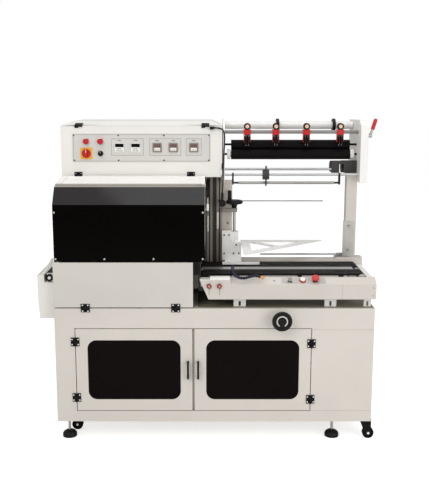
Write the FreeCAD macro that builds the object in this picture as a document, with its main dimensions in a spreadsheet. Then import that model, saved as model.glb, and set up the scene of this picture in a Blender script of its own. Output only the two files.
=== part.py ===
import FreeCAD, Part
import math
import os
import re
import Sketcher

os.makedirs("parts", exist_ok=True)

# An automatic L-bar sealer: a free-standing cabinet on casters with an
# L-shaped seal jaw under a hood, an infeed and an outfeed conveyor, a control
# box over the hood and a film unwinder over the infeed. Millimetres, +Z up,
# origin at the bottom centre of the whole machine, the operator's side at -Y.

doc = FreeCAD.newDocument("l_bar_sealer")
sheet = doc.addObject("Spreadsheet::Sheet", "Sizes")

SIZES = [
    # whole machine
    ("overall_length", 1562, "outfeed cover to lever grip"),
    ("overall_depth", 860, "front handwheel rim to rear panel"),
    ("left_overhang", 79, "outfeed cover beyond the cabinet"),
    ("right_overhang", 43, "clamp lever beyond the cabinet"),
    ("handwheel_reach", 58, "front handwheel in front of the doors"),
    ("leg_height", 105, "floor to cabinet underside"),
    ("cabinet_height", 535, "cabinet sheet box"),
    ("sheet_wall", 2.5, "sheet steel of cabinet and housing"),
    ("rear_panel_sheet", 2.5, "removable rear panel"),
    ("rear_rim", 18, "rim the rear panel screws to"),
    # cabinet front
    ("beam_height", 92, "beam above the doors"),
    ("sill_height", 50, "sill below the doors"),
    ("door_left_margin", 90, "cabinet corner to door opening"),
    ("fixed_panel_width", 280, "fixed front panel on the right"),
    ("mullion_width", 40, "post between the doors"),
    ("mullion_x", -77, "post centre"),
    ("mullion_depth", 20, "post front to back"),
    ("door_gap", 3, "door to opening, all round"),
    ("door_meeting_gap", 10, "between the two doors"),
    ("door_depth", 18, "door pan front to back"),
    ("door_sheet", 2, "door pan sheet"),
    ("window_inset", 53, "door edge to window edge"),
    ("window_radius", 40, "window corner"),
    ("pane_lap", 9, "pane beyond the window edge"),
    ("pane_thickness", 4, "smoked acrylic pane"),
    ("door_handle_width", 9, "door handle bar"),
    ("door_handle_length", 81, "door handle bar"),
    ("door_handle_reach", 26, "door handle in front of the door"),
    ("door_handle_inset", 15, "door edge to handle"),
    ("door_handle_z", 355, "handle middle height"),
    ("groove_width", 2, "joint grooves of the fixed panel"),
    ("groove_depth", 1.2, "joint grooves of the fixed panel"),
    ("base_bar_height", 25, "bars inside the cabinet floor"),
    ("base_bar_width", 50, "bars inside the cabinet floor"),
    # hinges
    ("hinge_width", 38, "both leaves opened flat"),
    ("hinge_length", 40, "along the pin"),
    ("hinge_leaf", 3, "leaf thickness"),
    ("knuckle_radius", 4, "hinge knuckle"),
    ("hinge_pin_radius", 2, "hinge pin"),
    ("hinge_pin_gap", 0.05, "running fit of the hinge pin"),
    ("knuckle_gap", 0.4, "between two knuckles"),
    ("hinge_axis_reach", 6, "pin axis in front of the mounting face"),
    ("hinge_screw_radius", 3, "hinge screw head"),
    # seal housing and access panel
    ("access_panel_height", 205, "lower front panel of the seal housing"),
    ("access_panel_lift", 5, "deck to panel edge"),
    ("access_panel_length", 623, "lower front panel of the seal housing"),
    ("access_panel_depth", 8, "panel pan front to back"),
    ("exit_sill", 110, "deck to product exit"),
    ("exit_width", 326, "product exit, front to back"),
    ("housing_height", 561, "deck to control box"),
    ("tower_front", 450, "cabinet front to tower front wall"),
    ("tower_right", 53, "right face of tower and control box"),
    # hood
    ("hood_length", 669, "left to right"),
    ("hood_left_gap", 8, "cabinet corner to hood"),
    ("hood_front_bottom", 213, "deck to hood front lower edge"),
    ("hood_front_top", 468, "deck to bend of the hood front"),
    ("hood_slope_top", 21, "control box underside down to the slope"),
    ("hood_slope_run", 60, "slope front to back"),
    ("hood_top_rear", 2, "control box underside up to the hood top"),
    ("hood_depth", 288, "hood front to rear edge"),
    ("hood_sheet", 3, "hood top sheet"),
    ("hood_pane", 5, "smoked hood window"),
    ("hood_rim_height", 6, "raised border of the hood top"),
    ("hood_rim_width", 22, "raised border of the hood top"),
    ("hood_cheek_bottom", 262, "deck to lower edge of the cheeks"),
    ("hood_axis_reach", 6, "hood pin axis in front of the control box"),
    # control box
    ("box_front", 300, "cabinet front to control box front"),
    ("box_depth", 442, "control box front to back"),
    ("box_height", 239, "control box without its lid"),
    ("box_sheet", 2, "control box sheet"),
    ("lid_rise", 20, "lid top over its lower edge"),
    ("lid_slope_run", 76, "front slope of the lid"),
    ("lid_hip", 42, "side slopes of the lid"),
    ("lid_gap", 0.5, "box edge to lid"),
    ("plate_sheet", 1.5, "instrument plate"),
    ("plate_length", 650, "instrument plate"),
    ("plate_height", 133, "instrument plate"),
    ("plate_left", -649, "instrument plate left edge"),
    ("plate_bottom", 71, "control box underside to instrument plate"),
    ("meter_size", 43, "square face of controllers and timers"),
    ("meter_bezel", 5, "face in front of the plate"),
    ("meter_body", 38, "square body behind the plate"),
    ("meter_depth", 60, "body behind the plate"),
    ("meter_gap", 0.5, "body in its cut-out"),
    ("meter_z", 139, "control box underside to controller middle"),
    ("lamp_radius", 14, "signal lamp"),
    ("lamp_reach", 12, "lamp in front of the plate"),
    ("lamp_z", 168, "control box underside to lamps"),
    ("switch_z", 112, "control box underside to both switches"),
    ("switch_plate_width", 56, "yellow plate of the main switch"),
    ("switch_plate_height", 54, "yellow plate of the main switch"),
    ("switch_plate_sheet", 2, "yellow plate of the main switch"),
    ("main_knob_radius", 21, "main switch knob"),
    ("main_knob_depth", 20, "main switch knob"),
    ("selector_radius", 13, "selector knob"),
    ("selector_depth", 18, "selector knob"),
    ("knob_shaft_radius", 4, "switch shafts"),
    ("knob_shaft_gap", 0.05, "switch shaft in its bush"),
    ("knob_gap", 0.5, "knob to its seat"),
]
SIZES += [
    # outfeed conveyor
    ("roller_radius", 17, "end rollers of both conveyors"),
    ("belt_thickness", 1.5, "conveyor belts"),
    ("belt_gap", 0.3, "belt to turning roller"),
    ("belt_top", 150, "deck to belt surface"),
    ("out_roller_reach", 24, "cabinet side to outfeed roller"),
    ("out_belt_front", 56, "cabinet front to outfeed belt"),
    ("out_belt_width", 280, "outfeed belt"),
    ("out_belt_right", -95, "inner end of the outfeed belt"),
    ("rail_sheet", 6, "outfeed side rails"),
    ("rail_gap", 2, "belt to rail"),
    ("rail_height", 46, "outfeed side rails"),
    ("axle_radius", 6, "roller axles"),
    ("axle_gap", 0.05, "axle in its bore"),
    ("axle_step", 1, "end play of a roller"),
    ("out_cover_bottom", 58, "cover lower edge under the deck"),
    ("out_cover_top", 143, "deck to cover top"),
    ("out_cover_lap", 110, "deck to the low part of the cover"),
    ("out_cover_strip", 31, "raised strip of the cover"),
    ("out_cover_front", 45, "cabinet front to the cover"),
    ("out_cover_depth", 300, "cover front to back"),
    ("out_guard_top", 220, "deck to the guard plate's top"),
    # seal jaws
    ("jaw_front", 12, "cabinet front to the front jaw bar"),
    ("jaw_width", 30, "front jaw bar"),
    ("jaw_left", -640, "left end of the front jaw bar"),
    ("jaw_side_x", -70, "middle of the side jaw bar"),
    ("jaw_side_width", 34, "side jaw bar"),
    ("jaw_side_rear", 400, "cabinet front to the side bar's end"),
    ("jaw_top", 150, "deck to the sealing face"),
    ("jaw_height", 60, "lower and upper jaw bars"),
    ("jaw_stroke", 110, "upper jaw opening"),
    ("jaw_column_radius", 10, "guide columns"),
    ("jaw_column_gap", 0.05, "guide column in its bush"),
    ("jaw_bush_radius", 20, "bush blocks of the columns"),
    ("jaw_column_x", -665, "front left guide column"),
    ("jaw_column_front", 31, "cabinet front to the left column"),
    ("jaw_column_rear", 424, "cabinet front to the rear column"),
    ("jaw_column_tail", 60, "column below the deck"),
    ("deck_hole_gap", 5, "deck hole around a column"),
    # infeed conveyor
    ("infeed_left", -46, "left edge of the infeed belts"),
    ("infeed_right_gap", 36, "cabinet corner to the belts"),
    ("infeed_plate_front", 40.3, "cabinet front to the front side plate"),
    ("infeed_plate", 4, "side plates"),
    ("infeed_plate_bottom", 92, "deck to the side plates"),
    ("infeed_plate_height", 50, "side plates"),
    ("front_belt_width", 94, "front infeed belt"),
    ("rear_belt_width", 121, "rear infeed belt"),
    ("centre_strip_width", 53, "metal strip between the belts"),
    ("belt_side_gap", 3, "belt to side plate"),
    ("cover_left", -48, "left edge of the conveyor cover"),
    ("cover_bottom", 42, "deck to the cover's lower edge"),
    ("cover_bend", 110, "deck to the cover's bend"),
    ("cover_top", 136, "deck to the cover's top edge"),
    ("cover_slope_run", 40, "cover slope front to back"),
    ("cover_sheet", 2, "conveyor cover"),
    ("cover_step_x", 88, "right end of the raised left part"),
    ("cover_step_top", 131, "deck to the raised part's top"),
    ("cover_slant", 39, "slanted left edge of the cover"),
    ("button_radius", 11, "start and reset buttons"),
    ("button_height", 8, "button over the slope"),
    ("button_travel", 3, "press buttons"),
    ("stop_radius", 17, "emergency stop mushroom"),
    ("stop_height", 22, "emergency stop over the slope"),
    ("collar_radius", 15, "button collars"),
    ("collar_height", 3, "button collars"),
    ("button_stem_radius", 6, "button stems"),
    ("button_stem_gap", 0.05, "stem in its bush"),
    ("start_x", 356, "start button"),
    ("reset_x", 413, "reset button"),
    ("stop_x", 469, "emergency stop"),
    ("panel_strip_left", 319, "grey strip under the buttons"),
    ("panel_strip_length", 196, "grey strip under the buttons"),
    ("infeed_travel", 25, "infeed conveyor height setting"),
    ("bracket_gap", 6, "deck slot around an infeed bracket"),
    ("guide_gap", 0.3, "infeed bracket to its guide"),
    # front handwheel
    ("front_wheel_x", 318, "front handwheel"),
    ("front_wheel_z", 594, "front handwheel"),
    ("front_wheel_radius", 45, "front handwheel"),
    ("wheel_shaft_radius", 8, "handwheel shaft"),
    ("wheel_shaft_gap", 0.05, "handwheel shaft in its bush"),
    ("wheel_bush_radius", 16, "bush behind the beam"),
    ("wheel_bush_depth", 60, "bush behind the beam"),
    # columns, beam and unwinder
    ("column_left", -16, "slotted column"),
    ("column_width", 72, "slotted column"),
    ("column_front", 350, "cabinet front to the column"),
    ("column_depth", 62, "slotted column"),
    ("slot_width", 10, "column slots"),
    ("slot_depth", 8, "column slots"),
    ("channel_width", 19, "front channel of the column"),
    ("rear_beam_front", 330, "cabinet front to the rear beam"),
    ("rear_beam_depth", 62, "rear beam"),
    ("rear_beam_bottom", 120, "deck to the rear beam"),
    ("rear_beam_height", 37, "rear beam"),
    ("post_right", 35, "cabinet corner to the right face of the post"),
    ("post_width", 50, "right post"),
    ("post_depth", 50, "right post"),
    ("post_foot", 10, "foot plate of the post"),
    ("post_top", 575, "deck to the post's top"),
    ("unwind_bottom", 535, "deck to the unwind plates"),
    ("unwind_top", 825, "deck to the unwind plates' top"),
    ("unwind_left", 7, "tower to the left unwind plate"),
    ("unwind_plate", 8, "left unwind plate"),
    ("unwind_right_width", 35, "right unwind housing"),
    ("unwind_sheet", 3, "right unwind housing"),
    ("unwind_front", 280, "cabinet front to the right unwind housing"),
    ("unwind_left_front", 312, "cabinet front to the left unwind plate"),
    ("unwind_rear", 590, "cabinet front to the unwind plates' rear"),
    ("bar_radius", 8.5, "perforator bar"),
    ("bar_z", 771, "deck to the perforator bar"),
    ("bar_depth", 350, "cabinet front to the perforator bar"),
    ("guide_radius", 6, "fixed film guide rods"),
    ("wheel_z", 730, "deck to the perforator wheels' axis"),
    ("perforator_radius", 22.5, "perforator wheel"),
    ("perforator_width", 25, "perforator wheel"),
    ("feed_z", 664, "deck to the feed roller"),
    ("feed_depth", 380, "cabinet front to the feed roller"),
    ("feed_radius", 25, "feed roller"),
    ("press_radius", 22, "press roller"),
    ("nip_gap", 0.5, "feed roller to press roller"),
    ("dancer_z", 533, "deck to the dancer roller"),
    ("dancer_depth", 312, "cabinet front to dancer roller and lower rod"),
    ("dancer_radius", 6.5, "dancer roller"),
    ("lower_rod_z", 572, "deck to the lower guide rod"),
    ("motor_bracket_left", 122, "right unwind plate to the bracket's left end"),
    ("upper_rod_z", 593, "deck to the upper guide rod"),
    ("cradle_z", 797, "deck to the cradle rollers"),
    ("cradle_depth", 500, "cabinet front to the front cradle roller"),
    ("cradle_pitch", 60, "between the cradle rollers"),
    ("cradle_radius", 18, "cradle rollers"),
    ("journal_radius", 5, "roller journals"),
    ("journal_gap", 0.05, "journal in its bore"),
    ("roller_end_gap", 1.5, "roller face to the unwind plates"),
    ("lever_radius", 6, "clamp lever shaft"),
    ("grip_radius", 9, "clamp lever grip"),
    # film former
    ("screw_x", 116, "lead screw and handwheel"),
    ("screw_depth", 350, "cabinet front to the lead screw"),
    ("screw_radius", 7, "lead screw"),
    ("screw_gap", 0.05, "screw in its nut and bearing"),
    ("wheel_height", 436, "deck to the handwheel"),
    ("wheel_radius", 41, "handwheel rim"),
    ("bearing_z", 388, "deck to the screw's bearing"),
    ("bearing_height", 18, "screw bearing"),
    ("lift_travel", 80, "height setting of the film former"),
    ("former_z", 236, "deck to the film former"),
    ("former_thick", 6, "film former"),
    ("former_left", 150, "right-angle corner of the film former"),
    ("former_right", 548, "long end of the film former"),
    ("former_rear", 400, "cabinet front to the rear bar of the former"),
    ("former_front", 30, "cabinet front to the former's front tip"),
    ("former_bar", 40, "bars of the film former"),
    # feet and casters
    ("foot_radius", 33, "levelling feet"),
    ("foot_stem", 6, "levelling feet"),
    ("wheel_caster_radius", 26, "caster wheels"),
    ("caster_width", 22, "caster wheels"),
    ("caster_trail", 18, "swivel pin to wheel axle"),
    ("caster_stem", 6, "swivel pins"),
    ("caster_gap", 0.05, "swivel pin in its bore"),
    ("fork_sheet", 3, "caster forks"),
    ("fork_gap", 1, "caster wheel to fork"),
    ("cable_radius", 3.5, "sensor cable"),
    ("hose_radius", 5.5, "air hose"),
]

for row, (alias, size, note) in enumerate(SIZES, start=1):
    sheet.set("A%d" % row, alias)
    sheet.set("B%d" % row, str(size))
    sheet.set("C%d" % row, note)
    sheet.setAlias("B%d" % row, alias)
doc.recompute()

ALIASES = re.compile(r"\b(%s)\b" % "|".join(alias for alias, size, note in SIZES))

# Places worked out from the driving sizes.
XL = "(left_overhang - overall_length / 2)"
XR = "(overall_length / 2 - right_overhang)"
YF = "(handwheel_reach - overall_depth / 2)"
YB = "(overall_depth / 2 - rear_panel_sheet)"
ZB = "leg_height"
ZT = "(leg_height + cabinet_height)"


def front(depth):
    """A place measured back from the cabinet's front."""
    return "(%s + %s)" % (YF, depth)


def deck(height):
    """A height measured up from the cabinet's top."""
    return "(%s + %s)" % (ZT, height)


def box_up(height):
    """A height measured up from the underside of the control box."""
    return "(%s + housing_height + %s)" % (ZT, height)


def left(reach):
    """A place measured right from the cabinet's left side."""
    return "(%s + %s)" % (XL, reach)


def right(reach):
    """A place measured left from the cabinet's right side."""
    return "(%s - %s)" % (XR, reach)


def drive(thing, target, formula):
    """Bind one property to the sheet."""
    thing.setExpression(target, ALIASES.sub(r"Sizes.\1", str(formula)))


def block(name, x0, x1, y0, y1, z0, z1):
    """A box between two corners."""
    box = doc.addObject("Part::Box", name)
    drive(box, "Length", "(%s) - (%s)" % (x1, x0))
    drive(box, "Width", "(%s) - (%s)" % (y1, y0))
    drive(box, "Height", "(%s) - (%s)" % (z1, z0))
    drive(box, "Placement.Base.x", x0)
    drive(box, "Placement.Base.y", y0)
    drive(box, "Placement.Base.z", z0)
    return box


TURNS = {
    "X": FreeCAD.Rotation(FreeCAD.Vector(0, 1, 0), 90),
    "Y": FreeCAD.Rotation(FreeCAD.Vector(1, 0, 0), -90),
    "Z": FreeCAD.Rotation(),
}


def rod(name, axis, x, y, z, radius, start, end):
    """A round bar along one axis; the place on that axis is its start."""
    bar = doc.addObject("Part::Cylinder", name)
    bar.Placement = FreeCAD.Placement(FreeCAD.Vector(), TURNS[axis])
    drive(bar, "Radius", radius)
    drive(bar, "Height", "(%s) - (%s)" % (end, start))
    at = {"x": x, "y": y, "z": z}
    at[axis.lower()] = start
    for letter, place in at.items():
        drive(bar, "Placement.Base." + letter, place)
    return bar


def cone(name, axis, x, y, z, radius_start, radius_end, start, end):
    """A tapered round bar along one axis."""
    taper = doc.addObject("Part::Cone", name)
    taper.Placement = FreeCAD.Placement(FreeCAD.Vector(), TURNS[axis])
    drive(taper, "Radius1", radius_start)
    drive(taper, "Radius2", radius_end)
    drive(taper, "Height", "(%s) - (%s)" % (end, start))
    at = {"x": x, "y": y, "z": z}
    at[axis.lower()] = start
    for letter, place in at.items():
        drive(taper, "Placement.Base." + letter, place)
    return taper


def ring(name, axis, x, y, z, radius, tube):
    """A round rim (torus) about one axis."""
    rim = doc.addObject("Part::Torus", name)
    rim.Placement = FreeCAD.Placement(FreeCAD.Vector(), TURNS[axis])
    drive(rim, "Radius1", radius)
    drive(rim, "Radius2", tube)
    drive(rim, "Placement.Base.x", x)
    drive(rim, "Placement.Base.y", y)
    drive(rim, "Placement.Base.z", z)
    return rim


def fuse(name, pieces):
    """Join touching solids into one."""
    joined = doc.addObject("Part::MultiFuse", name)
    joined.Shapes = pieces
    joined.Refine = True
    return joined


def group(name, pieces):
    """Keep separate solids together as one piece of the assembly."""
    kept = doc.addObject("Part::Compound", name)
    kept.Links = pieces
    return kept


def cut(name, base, tools):
    """Take tools away from a base."""
    taken = doc.addObject("Part::Cut", name)
    taken.Base = base
    taken.Tool = tools[0] if len(tools) == 1 else group(name + "_tools", tools)
    taken.Refine = True
    return taken


PLANES = {
    "XY": ("XY_Plane", "z", False),
    "XZ": ("XZ_Plane", "y", True),
    "YZ": ("YZ_Plane", "x", False),
}


def prism(name, plane, points, start, end, radius=None):
    """A pad of a straight-sided outline, its long edges rounded if asked."""
    role, along, reverse = PLANES[plane]
    body = doc.addObject("PartDesign::Body", name)
    sketch = body.newObject("Sketcher::SketchObject", name + "_outline")
    plane_object = [o for o in body.Origin.OriginFeatures if o.Role == role][0]
    sketch.AttachmentSupport = [(plane_object, "")]
    sketch.MapMode = "FlatFace"
    count = len(points)
    corners = []
    for i in range(count):
        turn = 2 * math.pi * i / count
        corners.append(FreeCAD.Vector(100 * math.cos(turn), 100 * math.sin(turn), 0))
    for i in range(count):
        sketch.addGeometry(Part.LineSegment(corners[i], corners[(i + 1) % count]), False)
    for i in range(count):
        sketch.addConstraint(Sketcher.Constraint("Coincident", i, 2, (i + 1) % count, 1))
    for i, (across, up) in enumerate(points):
        for kind, place, value in (("DistanceX", across, corners[i].x),
                                   ("DistanceY", up, corners[i].y)):
            number = sketch.addConstraint(Sketcher.Constraint(kind, i, 1, value))
            drive(sketch, "Constraints[%d]" % number, place)
    pad = body.newObject("PartDesign::Pad", name + "_pad")
    pad.Profile = sketch
    pad.Reversed = reverse
    drive(pad, "Length", "(%s) - (%s)" % (end, start))
    drive(body, "Placement.Base." + along, start)
    if radius is not None:
        doc.recompute()
        edges = []
        for i, edge in enumerate(pad.Shape.Edges, start=1):
            run = edge.Vertexes[1].Point - edge.Vertexes[0].Point
            if abs(abs(run[{"x": 0, "y": 1, "z": 2}[along]]) - run.Length) < 0.001:
                edges.append("Edge%d" % i)
        fillet = body.newObject("PartDesign::Fillet", name + "_corners")
        fillet.Base = (pad, edges)
        drive(fillet, "Radius", radius)
        body.Tip = fillet
    return body


def plate(name, plane, a0, a1, b0, b1, start, end, radius):
    """A rectangular plate with rounded corners."""
    outline = [(a0, b0), (a1, b0), (a1, b1), (a0, b1)]
    return prism(name, plane, outline, start, end, radius)


def loft(name, low, high, bottom, top):
    """A solid between two level rectangles given as (x0, x1, y0, y1)."""
    sections = []
    for tag, (x0, x1, y0, y1), level in (("low", low, bottom), ("high", high, top)):
        sketch = doc.addObject("Sketcher::SketchObject", "%s_%s" % (name, tag))
        outline = [(x0, y0), (x1, y0), (x1, y1), (x0, y1)]
        start = [(-50, -50), (50, -50), (50, 50), (-50, 50)]
        for i in range(4):
            first = FreeCAD.Vector(start[i][0], start[i][1], 0)
            second = FreeCAD.Vector(start[(i + 1) % 4][0], start[(i + 1) % 4][1], 0)
            sketch.addGeometry(Part.LineSegment(first, second), False)
        for i in range(4):
            sketch.addConstraint(Sketcher.Constraint("Coincident", i, 2, (i + 1) % 4, 1))
        for i, (across, up) in enumerate(outline):
            for kind, place, value in (("DistanceX", across, start[i][0]),
                                       ("DistanceY", up, start[i][1])):
                number = sketch.addConstraint(Sketcher.Constraint(kind, i, 1, value))
                drive(sketch, "Constraints[%d]" % number, place)
        drive(sketch, "Placement.Base.z", level)
        sections.append(sketch)
    solid = doc.addObject("Part::Loft", name)
    solid.Sections = sections
    solid.Solid = True
    solid.Ruled = True
    return solid


def place(piece, x, y, z, rotation=None):
    """Put a piece built about the origin where it belongs."""
    if rotation is not None:
        piece.Placement = FreeCAD.Placement(FreeCAD.Vector(), rotation)
    drive(piece, "Placement.Base.x", x)
    drive(piece, "Placement.Base.y", y)
    drive(piece, "Placement.Base.z", z)
    return piece


NODES = []


def node(piece, label):
    """Register a finished piece of the assembly."""
    piece.Label = label
    NODES.append(piece)
    return piece

# ---------------------------------------------------------------- hinges

# Turn from the hinge's own axes (pin along Z, wall at +Y, moving leaf at +X).
HINGE_TURNS = {
    "door_left": FreeCAD.Rotation(),
    "door_right": FreeCAD.Rotation(FreeCAD.Vector(0, 1, 0), 180),
    "flap_up": FreeCAD.Rotation(FreeCAD.Vector(0, 1, 0), -90),
}
FIXED_LEAVES = []


def butt_hinge(name, turn, x, y, z):
    """A black butt hinge; returns its moving leaf, keeps the fixed one."""
    half = "hinge_length / 2"
    wall = "hinge_axis_reach"
    inner = "hinge_axis_reach - hinge_leaf"
    leaves = []
    for side, low, high in (("fixed", "-" + half, "-knuckle_gap / 2"),
                            ("moving", "knuckle_gap / 2", half)):
        sign = "-" if side == "fixed" else ""
        edges = ["%shinge_width / 2" % sign, "%s(knuckle_radius + knuckle_gap)" % sign]
        if side == "moving":
            edges.reverse()
        tag = "%s_%s" % (name, side)
        leaf = block(tag + "_leaf", edges[0], edges[1], inner, wall, "-" + half, half)
        tabs = [edges[1], "0"] if side == "fixed" else ["0", edges[0]]
        tab = block(tag + "_tab", tabs[0], tabs[1], inner, wall, low, high)
        knuckle = rod(tag + "_knuckle", "Z", "0", "0", "0", "knuckle_radius", low, high)
        solids = [leaf, tab, knuckle]
        if side == "fixed":
            solids.append(rod(tag + "_pin", "Z", "0", "0", "0", "hinge_pin_radius",
                              "-" + half, half))
        for k, spot in enumerate((-0.3, 0.3)):
            screw = "%shinge_width * 0.36" % sign
            solids.append(rod("%s_screw%d" % (tag, k), "Y", screw, "0",
                              "hinge_length * %s" % spot, "hinge_screw_radius",
                              "%s - 1" % inner, inner))
        body = fuse(tag + "_joined", solids)
        if side == "moving":
            bore = rod(tag + "_bore", "Z", "0", "0", "0", "hinge_pin_radius + hinge_pin_gap",
                       "0", half + " + 1")
            body = cut(tag + "_bored", body, [bore])
        held = group(tag, [body])
        place(held, x, y, z, HINGE_TURNS[turn])
        leaves.append(held)
    FIXED_LEAVES.append(leaves[0])
    return leaves[1]


# --------------------------------------------------------------- cabinet

DOOR_L0 = left("door_left_margin")
DOOR_R1 = right("fixed_panel_width")
DOOR_Z0 = "(%s + sill_height)" % ZB
DOOR_Z1 = deck("-beam_height")
MULLION_0 = "(mullion_x - mullion_width / 2)"
MULLION_1 = "(mullion_x + mullion_width / 2)"
BAR_TOP = "(%s + sheet_wall + base_bar_height)" % ZB
BUSH_Y0 = front("sheet_wall")
COLUMN_SPOTS = [("jaw_column_x", front("jaw_column_front")),
                ("jaw_side_x", front("jaw_column_rear"))]
FOOT_X = [left("39"), right("166")]
FOOT_Y = [front("82"), "(%s - 60)" % YB]
CASTER_X = [left("46"), right("18")]
CASTER_Y = [front("160"), front("61")]
REAR_CASTER_X = [left("160"), right("60")]
REAR_CASTER_Y = "(%s - 60)" % YB
BRACKETS = [("105", "160"), ("516", "569"), (right("45"), right("12"))]
BRACKET_Y = ["infeed_plate_front - 8", "infeed_plate_front"]


def cabinet_frame():
    """The folded sheet box with its beam, post, bars and openings."""
    outer = block("cab_outer", XL, XR, YF, YB, ZB, ZT)
    hollow = block("cab_hollow", left("sheet_wall"), right("sheet_wall"),
                   front("sheet_wall"), "%s - sheet_wall" % YB,
                   "%s + sheet_wall" % ZB, deck("-sheet_wall"))
    rear = block("cab_rear_hole", left("rear_rim"), right("rear_rim"),
                 "%s - sheet_wall - 1" % YB, "%s + 1" % YB,
                 "%s + rear_rim" % ZB, deck("-rear_rim"))
    doors = block("cab_door_hole", DOOR_L0, DOOR_R1, front("-1"),
                  front("sheet_wall + 1"), DOOR_Z0, DOOR_Z1)
    tools = [hollow, rear, doors]
    for k, level in enumerate((deck("-beam_height - 8"), "%s + sill_height + 2" % ZB)):
        tools.append(block("cab_groove%d" % k, DOOR_R1, "%s + 1" % XR, front("-1"),
                           front("groove_depth"), level, "%s + groove_width" % level))
    for k, (x, y) in enumerate(COLUMN_SPOTS):
        tools.append(rod("cab_column_hole%d" % k, "Z", x, y, "0",
                         "jaw_column_radius + deck_hole_gap",
                         deck("-sheet_wall - 1"), deck("1")))
    for k, (x0, x1) in enumerate(BRACKETS):
        tools.append(block("cab_slot%d" % k, "%s - bracket_gap" % x0, "%s + bracket_gap" % x1,
                           front(BRACKET_Y[0] + " - bracket_gap"),
                           front(BRACKET_Y[1] + " + bracket_gap"),
                           deck("-sheet_wall - 1"), deck("1")))
    shell = cut("cab_shell", outer, tools)
    post = block("cab_post", MULLION_0, MULLION_1, front("door_depth + 1"),
                 front("door_depth + 1 + mullion_depth"),
                 "%s + sheet_wall" % ZB, deck("-sheet_wall"))
    parts = [shell, post]
    for k, (y0, y1) in enumerate(((front("30"), front("30 + base_bar_width * 2.8")),
                                  ("%s - 60 - base_bar_width / 2" % YB,
                                   "%s - 60 + base_bar_width / 2" % YB))):
        parts.append(block("cab_bar%d" % k, left("sheet_wall"), right("sheet_wall"),
                           y0, y1, "%s + sheet_wall" % ZB, BAR_TOP))
    for k, (level0, level1) in enumerate(((DOOR_Z1, deck("-sheet_wall")),
                                          ("%s + sheet_wall" % ZB, DOOR_Z0))):
        parts.append(block("cab_stiffener%d" % k, left("sheet_wall"), right("sheet_wall"),
                           front("sheet_wall"), front("sheet_wall + 3"), level0, level1))
    parts.append(rod("cab_bush", "Y", "front_wheel_x", "0", "front_wheel_z",
                     "wheel_bush_radius", front("sheet_wall"),
                     front("sheet_wall + wheel_bush_depth")))
    for k, (x0, x1) in enumerate(BRACKETS):
        parts.append(block("cab_guide%d" % k, x0, x1, front("sheet_wall"),
                           front(BRACKET_Y[0] + " + 2 - guide_gap"), deck("-70"),
                           deck("-sheet_wall")))
    joined = fuse("cab_joined", parts)
    bores = [rod("cab_wheel_bore", "Y", "front_wheel_x", "0", "front_wheel_z",
                 "wheel_shaft_radius + wheel_shaft_gap", front("-1"),
                 front("wheel_bush_depth + 10"))]
    for i, x in enumerate(FOOT_X):
        for j, y in enumerate(FOOT_Y):
            bores.append(rod("cab_foot_bore%d%d" % (i, j), "Z", x, y, "0", "foot_stem",
                             "%s - 1" % ZB, BAR_TOP + " + 1"))
    for i, x in enumerate(CASTER_X):
        bores.append(rod("cab_caster_bore%d" % i, "Z", x, CASTER_Y[i], "0",
                         "caster_stem + caster_gap", "%s - 1" % ZB, BAR_TOP + " + 1"))
    return node(cut("cab_frame", joined, bores), "cabinet_frame")


def rear_panel():
    """The screwed rear panel with its louvre slots."""
    panel = block("rear_sheet", left("4"), right("4"), YB, "%s + rear_panel_sheet" % YB,
                  "%s + 4" % ZB, deck("-4"))
    slots = []
    for column in range(2):
        for row in range(6):
            x0 = "%s * overall_length / 4 - 90" % ("-1" if column == 0 else "1")
            z0 = "%s + 90 + %d" % (ZB, 26 * row)
            slots.append(block("rear_slot%d%d" % (column, row), x0, x0 + " + 180",
                               "%s - 1" % YB, "%s + rear_panel_sheet + 1" % YB,
                               z0, z0 + " + 8"))
    return node(cut("rear_panel_cut", panel, slots), "cabinet_rear_panel")


def door(side, x0, x1, hinge_x, hinge_turn, handle_x, hinge_zs):
    """One front door: pan with window, pane, then handle and hinge leaves."""
    z0 = "(%s + door_gap)" % DOOR_Z0
    z1 = "(%s - door_gap)" % DOOR_Z1
    outer = block(side + "_outer", x0, x1, YF, front("door_depth"), z0, z1)
    hollow = block(side + "_hollow", "%s + door_sheet" % x0, "%s - door_sheet" % x1,
                   front("door_sheet"), front("door_depth + 1"),
                   "%s + door_sheet" % z0, "%s - door_sheet" % z1)
    window = plate(side + "_opening", "XZ", "%s + window_inset" % x0, "%s - window_inset" % x1,
                   "%s + window_inset" % z0, "%s - window_inset" % z1,
                   front("-1"), front("door_sheet + 1"), "window_radius")
    node(cut(side + "_pan", outer, [hollow, window]), side + "_door")
    inset = "window_inset - pane_lap"
    node(block(side + "_pane", "%s + (%s)" % (x0, inset), "%s - (%s)" % (x1, inset),
               front("door_sheet"), front("door_sheet + pane_thickness"),
               "%s + (%s)" % (z0, inset), "%s - (%s)" % (z1, inset)), side + "_door_window")
    leaves = []
    for k, z in enumerate(hinge_zs):
        leaves.append(butt_hinge("%s_hinge%d" % (side, k), hinge_turn, hinge_x,
                                 front("-hinge_axis_reach"), z))
    hx0 = "%s - door_handle_width / 2" % handle_x
    hx1 = "%s + door_handle_width / 2" % handle_x
    hz0 = "door_handle_z - door_handle_length / 2"
    hz1 = "door_handle_z + door_handle_length / 2"
    grip = plate(side + "_grip", "YZ", front("-door_handle_reach"), YF, hz0, hz1,
                 hx0, hx1, "5")
    hand = plate(side + "_hand_gap", "YZ", front("-door_handle_reach + 8"), front("-1 + 1"),
                 hz0 + " + 12", hz1 + " - 12", hx0 + " - 1", hx1 + " + 1", "3")
    handle = cut(side + "_handle", grip, [hand])
    node(group(side + "_fittings", [handle] + leaves), side + "_door_hardware")


# ---------------------------------------------- seal housing and its panel

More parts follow.
